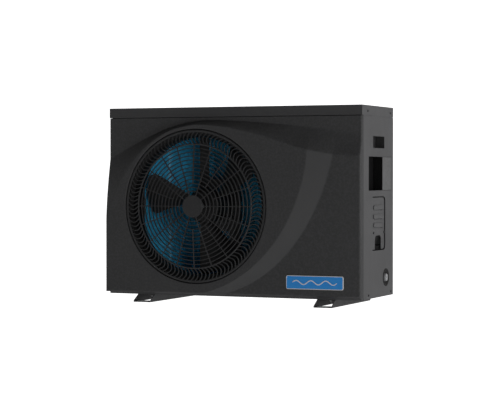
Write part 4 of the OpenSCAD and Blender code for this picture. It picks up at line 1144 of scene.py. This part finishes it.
@dataclass
class AxialFan:
    """The three-bladed fan: a dished hub with ribs inside, and twisted blades."""

    blades: int = 3
    hub_r: float = 60.0
    bore_r: float = 6.02
    blade_t: float = 3.0
    blade_rows: int = 30
    blade_cols: int = 22
    first_deg: float = 25.0
    root_sweep: float = 29.0
    tip_sweep: float = 16.0
    sweep_power: float = 0.8
    lean_deg: float = 3.0
    tip_r: float = 222.0
    tip_from: float = 0.86
    tip_trim: float = 5.0
    root_in: float = 2.0
    lead: tuple[float, float] = (14.0, 0.4)
    trail: tuple[float, float] = (6.0, 0.4)
    camber: float = 6.0
    edge_run: float = 0.2
    edge_thin: float = 0.12
    tip_thin: float = 0.45
    hub_depth: float = 48.0
    hub_points: int = 120
    crown: Pairs = ((16, 0), (12, 0.5), (5, 3), (1.5, 8), (0, 15))
    hollow: Pairs = ((3, 15), (7, 8), (14, 4))
    boss: Pairs = ((20, 4), (16, 42))
    ribs: int = 8
    rib_half: float = 1.0
    rib_ends: tuple[Point, Point] = ((17, 4, 40), (56.5, 12, 32))

    def __post_init__(self) -> None:
        """Takes the fan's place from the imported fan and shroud."""
        self.low, self.high = box_mm("fan")
        shroud_low, shroud_high = box_mm("fan_shroud")
        self.axis = ((shroud_low[0] + shroud_high[0]) / 2, (shroud_low[2] + shroud_high[2]) / 2)
        self.hub_front = box_mm("fan_nut")[1][1]
        self.hub_back = self.hub_front + self.hub_depth

    def blade(self, skin: Skin, turn: float) -> None:
        """Adds one blade.

        Args:
            skin: the skin to add to.
            turn: how far the blade is turned, in degrees.
        """
        root = self.hub_r - self.root_in
        s = np.linspace(0, 1, self.blade_rows)[:, None]
        c = np.linspace(0, 1, self.blade_cols)[None, :]
        r = root + (self.tip_r - root) * s
        trim = self.tip_trim * np.clip((s - self.tip_from) / (1 - self.tip_from), 0, 1) ** 2
        start = self.first_deg + self.lean_deg * s + trim
        sweep = self.root_sweep + self.tip_sweep * s**self.sweep_power
        end = self.first_deg + sweep - trim
        angle = np.radians(start + (end - start) * c + turn)
        y_start = self.low[1] + self.lead[0] + (self.lead[1] - self.lead[0]) * s
        y_root, y_tip = self.hub_back - self.trail[0], self.high[1] - self.trail[1]
        y_end = y_root + (y_tip - y_root) * s
        y = y_start + (y_end - y_start) * c - self.camber * np.sin(math.pi * c)
        edge = np.clip(np.minimum(c, 1 - c) / self.edge_run, 0, 1) ** 0.5
        half = (self.edge_thin + (1 - self.edge_thin) * edge) * self.blade_t / 2
        half = half * (1 - self.tip_thin * s)
        x = self.axis[0] + r * np.cos(angle)
        z = self.axis[1] + r * np.sin(angle)
        front, back = at(x, y - half, z), at(x, y + half, z)
        rings = np.concatenate([front, back[:, ::-1]], axis=1)
        skin.loft(rings, caps=True)

    def build(self) -> bpy.types.Object:
        """Builds the fan.

        Returns:
            The piece.
        """
        skin = Skin()
        f, b, r = self.hub_front, self.hub_back, self.hub_r
        profile = [(self.bore_r, f)]
        profile += [(r - r_in, f + down) for r_in, down in self.crown]
        profile += [(r, b), (r - self.hollow[0][0], b)]
        profile += [(r - r_in, f + down) for r_in, down in self.hollow]
        profile += [(radius, f + down) for radius, down in self.boss]
        profile.append((self.bore_r, f + self.boss[-1][1]))
        centre = (self.axis[0], 0.0, self.axis[1])
        skin.loft(turned(profile, centre, self.hub_points), loop=True)
        for a in circle(self.ribs):
            cos, sin = math.cos(a), math.sin(a)
            rows = []
            for radius, top, foot in self.rib_ends:
                w = np.array([-1, 1, 1, -1]) * self.rib_half
                y = f + np.array([top, top, foot, foot])
                rows.append(
                    at(self.axis[0] + cos * radius - sin * w, y,
                       self.axis[1] + sin * radius + cos * w)
                )
            skin.loft(np.array(rows), caps=True)
        for i in range(self.blades):
            self.blade(skin, i * 360 / self.blades)
        return skin.piece("axial_fan", "fan_set", [FAN_BLACK], ["fan"], 50)


# ---- Coil ----


@dataclass
class FinnedCoil:
    """The L-shaped coil: thin blue fins, a blue core and copper tubes through them."""

    thick: float = 57.0
    inner_bend: float = 18.0
    pitch: float = 2.4
    fin_t: float = 0.35
    corrugation: float = 0.55
    fin_in: float = 0.4
    fin_end: float = 0.3
    folds: tuple[int, ...] = (0, 1, -1, 1, 0, 1, -1, 1, 0)
    core_in: float = 0.9
    core_end: float = 1.0
    run_in: float = 0.5
    bend_points: int = 13
    tube_r: float = 4.6
    tube_points: int = 10
    tube_rows: int = 24
    tube_shares: tuple[float, float] = (0.28, 0.72)

    def __post_init__(self) -> None:
        """Takes the coil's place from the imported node."""
        self.low, self.high = box_mm("evaporator_fins")
        outer = self.inner_bend + self.thick
        self.bend = (self.low[0] + outer, self.high[1] - outer)
        self.leg = self.bend[1] - self.low[1]
        self.arc = self.inner_bend * math.pi / 2
        self.total = self.leg + self.arc + self.high[0] - self.bend[0]

    def station(self, s: float) -> tuple[Array, Array]:
        """A fin's place along the coil's inner face.

        Args:
            s: the distance from the front end of the left leg.

        Returns:
            The inner end of the fin and the direction to its outer end, in plan.
        """
        if s < self.leg:
            return np.array([self.low[0] + self.thick, self.low[1] + s]), np.array([-1.0, 0.0])
        if s < self.leg + self.arc:
            a = math.pi - (s - self.leg) / self.inner_bend
            out = np.array([math.cos(a), math.sin(a)])
            return np.array(self.bend) + out * self.inner_bend, out
        x = self.bend[0] + s - self.leg - self.arc
        return np.array([x, self.high[1] - self.thick]), np.array([0.0, 1.0])

    def add_fins(self, skin: Skin) -> None:
        """Adds the fins.

        Args:
            skin: the skin to add to.
        """
        count = int(self.total / self.pitch)
        along = np.linspace(self.fin_in, self.thick - self.fin_in, len(self.folds))[:, None]
        wobble = np.array(self.folds)[:, None] * self.corrugation / 2
        for i in range(count):
            inner, out = self.station((i + 0.5) * self.total / count)
            side = np.array([-out[1], out[0]])
            line = inner + out * along + side * wobble
            near, far = line - side * self.fin_t / 2, line + side * self.fin_t / 2
            loop = np.concatenate([near, far[::-1]])
            ends = (self.low[2] + self.fin_end, self.high[2] - self.fin_end)
            rows = [at(loop[:, 0], loop[:, 1], z) for z in ends]
            skin.loft(np.array(rows), caps=True)

    def build(self) -> bpy.types.Object:
        """Builds the fins, their core and the tubes through them.

        Returns:
            The piece.
        """
        skin = Skin()
        self.add_fins(skin)
        bend = np.linspace(self.leg, self.leg + self.arc, self.bend_points)
        along = np.concatenate([[self.run_in], bend, [self.total - self.run_in]])
        stations = [self.station(float(s)) for s in along]
        z0, z1 = self.low[2] + self.core_end, self.high[2] - self.core_end
        rows = []
        for inner, out in stations:
            a, b = inner + out * self.core_in, inner + out * (self.thick - self.core_in)
            rows.append([(*a, z0), (*b, z0), (*b, z1), (*a, z1)])
        skin.loft(np.array(rows), caps=True)
        tube_pitch = (self.high[2] - self.low[2]) / (self.tube_rows + 1)
        cos = self.tube_r * np.cos(circle(self.tube_points))
        sin = self.tube_r * np.sin(circle(self.tube_points))
        for k in range(self.tube_rows):
            z = self.low[2] + tube_pitch * (k + 1) + sin
            for share in self.tube_shares:
                rows = []
                for inner, out in stations:
                    mid = inner + out * self.thick * share
                    rows.append(at(mid[0] + out[0] * cos, mid[1] + out[1] * cos, z))
                skin.loft(np.array(rows), caps=True, mark=1)
        return skin.piece(
            "finned_coil", "cabinet", [BLUE_FINS, COPPER], ["evaporator_fins"], 60
        )


# ---- Screws ----


@dataclass
class PanHeadScrews:
    """Pan-head screws with a cross recess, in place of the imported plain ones."""

    node: str = "cabinet_screws"
    head_r: float = 4.0
    head_h: float = 2.0
    head_fall: float = 0.45
    head_rings: tuple[float, ...] = (
        0.02, 0.12, 0.2, 0.3, 0.4, 0.5, 0.58, 0.66, 0.76, 0.86, 0.94, 1.0,
    )
    recess_r: float = 2.3
    recess_w: float = 0.55
    recess_d: float = 1.2
    wall_slope: float = 0.25
    end_slope: float = 0.4
    shank_r: float = 2.0
    shank_l: float = 8.5
    around: int = 48

    def head(self, skin: Skin, face: Array, out: float) -> None:
        """Adds one head and its shank.

        Args:
            skin: the skin to add to.
            face: the middle of the head's underside.
            out: 1 where the head faces +X, -1 where it faces -X.
        """
        cos, sin = np.cos(circle(self.around)), np.sin(circle(self.around))
        rows = []
        for share in self.head_rings:
            r = share * self.head_r
            y, z = r * cos, r * sin
            height = self.head_h * (1 - self.head_fall * share**3)
            cross = np.minimum(np.abs(y), np.abs(z))
            cut = smooth((self.recess_w - cross) / self.wall_slope + 0.5)
            cut = cut * smooth((self.recess_r - r) / self.end_slope + 0.5)
            x = height - self.recess_d * cut
            rows.append(at(face[0] + out * x, face[1] + y, face[2] + z))
        for r, x in ((self.head_r, 0.0), (self.shank_r, 0.0), (self.shank_r, -self.shank_l)):
            rows.append(at(face[0] + out * x, face[1] + r * cos, face[2] + r * sin))
        skin.loft(np.array(rows), caps=True)

    def build(self) -> bpy.types.Object:
        """Builds every screw of the node in one piece.

        Returns:
            The piece.
        """
        skin = Skin()
        middle = (CAD_BOX[0].x + CAD_BOX[1].x) / 2 / MM
        for low, high in islands(self.node):
            out = 1.0 if (low[0] + high[0]) / 2 > middle else -1.0
            face_x = high[0] - self.head_h if out > 0 else low[0] + self.head_h
            centre = (low + high) / 2
            self.head(skin, np.array([face_x, centre[1], centre[2]]), out)
        return skin.piece(
            "panel_screws", "cabinet", [SCREW_BLACK], [self.node], 35
        )


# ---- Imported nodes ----


@dataclass
class PackedParts:
    """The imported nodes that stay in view, with their finishes and eased edges."""

    eased: tuple[tuple[str, float], ...] = (
        ("top_cover", 1.0),
        ("right_side_panel", 0.7),
        ("left_side_panel", 0.7),
        ("rear_panel", 0.6),
        ("wiring_cover", 0.5),
        ("scoop_plate", 0.8),
        ("foot_rail_left", 0.6),
        ("foot_rail_right", 0.6),
    )
    darker: tuple[str, ...] = ("foot_rail_left", "foot_rail_right")
    recess_from: float = 1.5
    grip_low: float = 515.0
    scoop_margin: float = 6.0
    weld_mm: float = 0.01
    flat_deg: float = 0.6
    ease_deg: float = 50.0

    def dress(self) -> None:
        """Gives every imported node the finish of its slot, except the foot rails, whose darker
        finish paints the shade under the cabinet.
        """
        slots = {s["node"]: s["material_slot"] for s in frame["record"]["subparts"]}
        for name, node in frame["nodes"].items():
            node.data.materials.clear()
            finish = FOOT_SHADE if name in self.darker else FINISHES[slots[name]]
            node.data.materials.append(finish.material())

    def shade_front_faces(self, name: str, finish: Finish, facing: float) -> None:
        """Paints shade on the faces of a node that look forwards, with a second, darker finish.

        Args:
            name: the node.
            finish: the second finish, a dark one that paints the shade.
            facing: the share of a face's normal along -Y from which it counts.
        """
        mesh = frame["nodes"][name].data
        mesh.materials.append(finish.material())
        for face in mesh.polygons:
            face.material_index = int(face.normal.y < -facing)

    def paint_shade(self) -> None:
        """Paints shade: darkens the side panel's pockets, the scoop's rear wall and the lid's
        front.
        """
        mesh = frame["nodes"]["right_side_panel"].data
        mesh.materials.append(RECESS_SHADE.material())
        mesh.materials.append(POCKET_SHADE.material())
        # Painted shade on the lid's front face.
        self.shade_front_faces("top_cover", LID_FRONT_SHADE, facing=0.9)
        self.shade_front_faces("scoop_plate", RECESS_SHADE, facing=0.7)
        plate_low, plate_high = box_mm("scoop_plate")
        scoop_low, scoop_high = plate_low[2] - self.scoop_margin, plate_high[2] + self.scoop_margin
        cover_high = box_mm("wiring_cover")[1][2]
        surface = box_mm("right_side_panel")[1][0]
        # Painted shade: deep faces in the grip pocket, by the scoop and below the wiring cover's
        # top take the near-black materials.
        for face in mesh.polygons:
            x, _, z = (c / MM for c in face.center)
            deep = x < surface - self.recess_from
            if deep and z > self.grip_low:
                face.material_index = 2
            elif deep and (scoop_low < z < scoop_high or z < cover_high):
                face.material_index = 1

    def ease(self) -> None:
        """Rounds the edges of the sheet and moulded parts with modifiers."""
        for name, width in self.eased:
            node = frame["nodes"][name]
            shading = node.data.attributes.get("custom_normal")
            if shading:
                node.data.attributes.remove(shading)
            node.data.shade_flat()
            weld = node.modifiers.new("weld", "WELD")
            weld.merge_threshold = self.weld_mm * MM
            flat = node.modifiers.new("flat", "DECIMATE")
            flat.decimate_type = "DISSOLVE"
            flat.angle_limit = math.radians(self.flat_deg)
            flat.delimit = {"MATERIAL"}
            bevel = node.modifiers.new("ease", "BEVEL")
            bevel.width = width * MM
            bevel.segments = 2
            bevel.limit_method = "ANGLE"
            bevel.angle_limit = math.radians(self.ease_deg)
            bevel.harden_normals = True
            LOG.info("%s: edges eased by %.1f mm", name, width)


# ---- Studio ----


@dataclass(frozen=True)
class Lamp:
    """One soft square light: places in metres, power in watts."""

    name: str
    at: Point
    aim: Point
    size: float
    power: float

    def build(self) -> bpy.types.Object:
        """Adds the light.

        Returns:
            The light's object.
        """
        data = bpy.data.lights.new(self.name, "AREA")
        data.size, data.energy = self.size, self.power
        made = bpy.data.objects.new(self.name, data)
        made.location = self.at
        made.rotation_mode = "QUATERNION"
        made.rotation_quaternion = (Vector(self.aim) - Vector(self.at)).to_track_quat("-Z", "Y")
        bpy.context.scene.collection.objects.link(made)
        return made


@dataclass
class Studio:
    """A pale floor, soft lights and the camera, in metres."""

    key: Lamp = Lamp("key_right", (4.0, -1.15, 0.7), (0.0, 0.0, 0.33), 2.0, 57.0)
    fill: Lamp = Lamp("fill_left", (-3.6, -1.2, 0.2), (0.0, 0.0, 0.3), 1.8, 8.0)
    coil_lamp: Lamp = Lamp("coil_lamp", (2.4, -2.6, 0.5), (-0.3, 0.0, 0.33), 1.2, 60.0)
    camera_at: Point = (2.3162, -5.4277, 0.4358)
    yaw_deg: float = 23.20
    pitch_deg: float = 0.871
    lens: float = 124.2
    sensor: float = 36.0
    clip_end: float = 200.0
    floor_half: float = 14.0
    floor_back: float = 6.0
    sweep_r: float = 3.0
    sweep_from: float = 0.1
    sweep_points: int = 14
    backdrop_top: float = 9.0
    world_fill: float = 0.03
    floor_glow: float = 0.36
    floor_seen: float = 1.2

    def floor(self) -> None:
        """Lays the floor, curved up at its far edge."""
        profile = [(-self.floor_half, 0.0), (self.floor_back, 0.0)]
        for a in np.linspace(self.sweep_from, math.pi / 2, self.sweep_points):
            y = self.floor_back + self.sweep_r * math.sin(a)
            profile.append((y, self.sweep_r - self.sweep_r * math.cos(a)))
        profile.append((self.floor_back + self.sweep_r, self.backdrop_top))
        sides = (-self.floor_half, self.floor_half)
        mesh = bpy.data.meshes.new("studio_floor")
        points = [(x, y, z) for y, z in profile for x in sides]
        faces = [(2 * i, 2 * i + 1, 2 * i + 3, 2 * i + 2) for i in range(len(profile) - 1)]
        mesh.from_pydata(points, [], faces)
        mesh.shade_smooth()
        made = bpy.data.objects.new("studio_floor", mesh)
        bpy.context.scene.collection.objects.link(made)
        paper = bpy.data.materials.new("studio_paper")
        paper.use_nodes = True
        shader = paper.node_tree.nodes["Principled BSDF"]
        shader.inputs["Base Color"].default_value = (0.9, 0.9, 0.9, 1)
        shader.inputs["Roughness"].default_value = 0.9
        shader.inputs["Emission Color"].default_value = WHITE
        shine = Tree(paper.node_tree)
        seen = shine.add("ShaderNodeLightPath").outputs["Is Camera Ray"]
        strength = shine.ramp(seen, 0.0, 1.0, (self.floor_glow, self.floor_seen))
        shine.join(strength, shader.inputs["Emission Strength"])
        mesh.materials.append(paper)

    def camera(self) -> None:
        """Places the camera."""
        data = bpy.data.cameras.new("camera")
        data.lens, data.sensor_width = self.lens, self.sensor
        data.clip_end = self.clip_end
        made = bpy.data.objects.new("camera", data)
        made.location = self.camera_at
        yaw, pitch = math.radians(self.yaw_deg), math.radians(self.pitch_deg)
        flat = math.cos(pitch)
        ahead = Vector((-math.sin(yaw) * flat, math.cos(yaw) * flat, -math.sin(pitch)))
        made.rotation_mode = "QUATERNION"
        made.rotation_quaternion = ahead.to_track_quat("-Z", "Y")
        bpy.context.scene.collection.objects.link(made)
        bpy.context.scene.camera = made

    def build(self) -> None:
        """Sets the whole studio up."""
        scene = bpy.context.scene
        scene.view_settings.view_transform = "Standard"
        world = bpy.data.worlds.new("studio_air")
        scene.world = world
        world.use_nodes = True
        world.node_tree.nodes.clear()
        tree = Tree(world.node_tree)
        seen = tree.add("ShaderNodeBackground")
        seen.inputs["Color"].default_value = WHITE
        fill = tree.add("ShaderNodeBackground")
        fill.inputs["Color"].default_value = WHITE
        fill.inputs["Strength"].default_value = self.world_fill
        mix = tree.add("ShaderNodeMixShader")
        tree.join(tree.add("ShaderNodeLightPath").outputs["Is Camera Ray"], mix.inputs[0])
        tree.join(fill.outputs[0], mix.inputs[1])
        tree.join(seen.outputs[0], mix.inputs[2])
        tree.join(mix.outputs[0], tree.add("ShaderNodeOutputWorld").inputs[0])
        self.floor()
        self.key.build()
        self.fill.build()
        coil_lamp = self.coil_lamp.build()
        lit = bpy.data.collections.new("lit_by_coil_lamp")
        lit.objects.link(bpy.data.objects["finned_coil"])
        coil_lamp.light_linking.receiver_collection = lit
        self.camera()
        LOG.info("studio ready")


def main() -> None:
    """Builds every sub-assembly in order and reports it."""
    logging.basicConfig(level=logging.INFO, format="%(name)s: %(message)s")
    parts = PackedParts()
    parts.dress()
    parts.paint_shade()
    parts.ease()
    MouldedFront().build()
    Nameplate().build()
    FanGrille().build()
    AxialFan().build()
    FinnedCoil().build()
    PanHeadScrews().build()
    Studio().build()


if __name__ == "__main__":
    main()
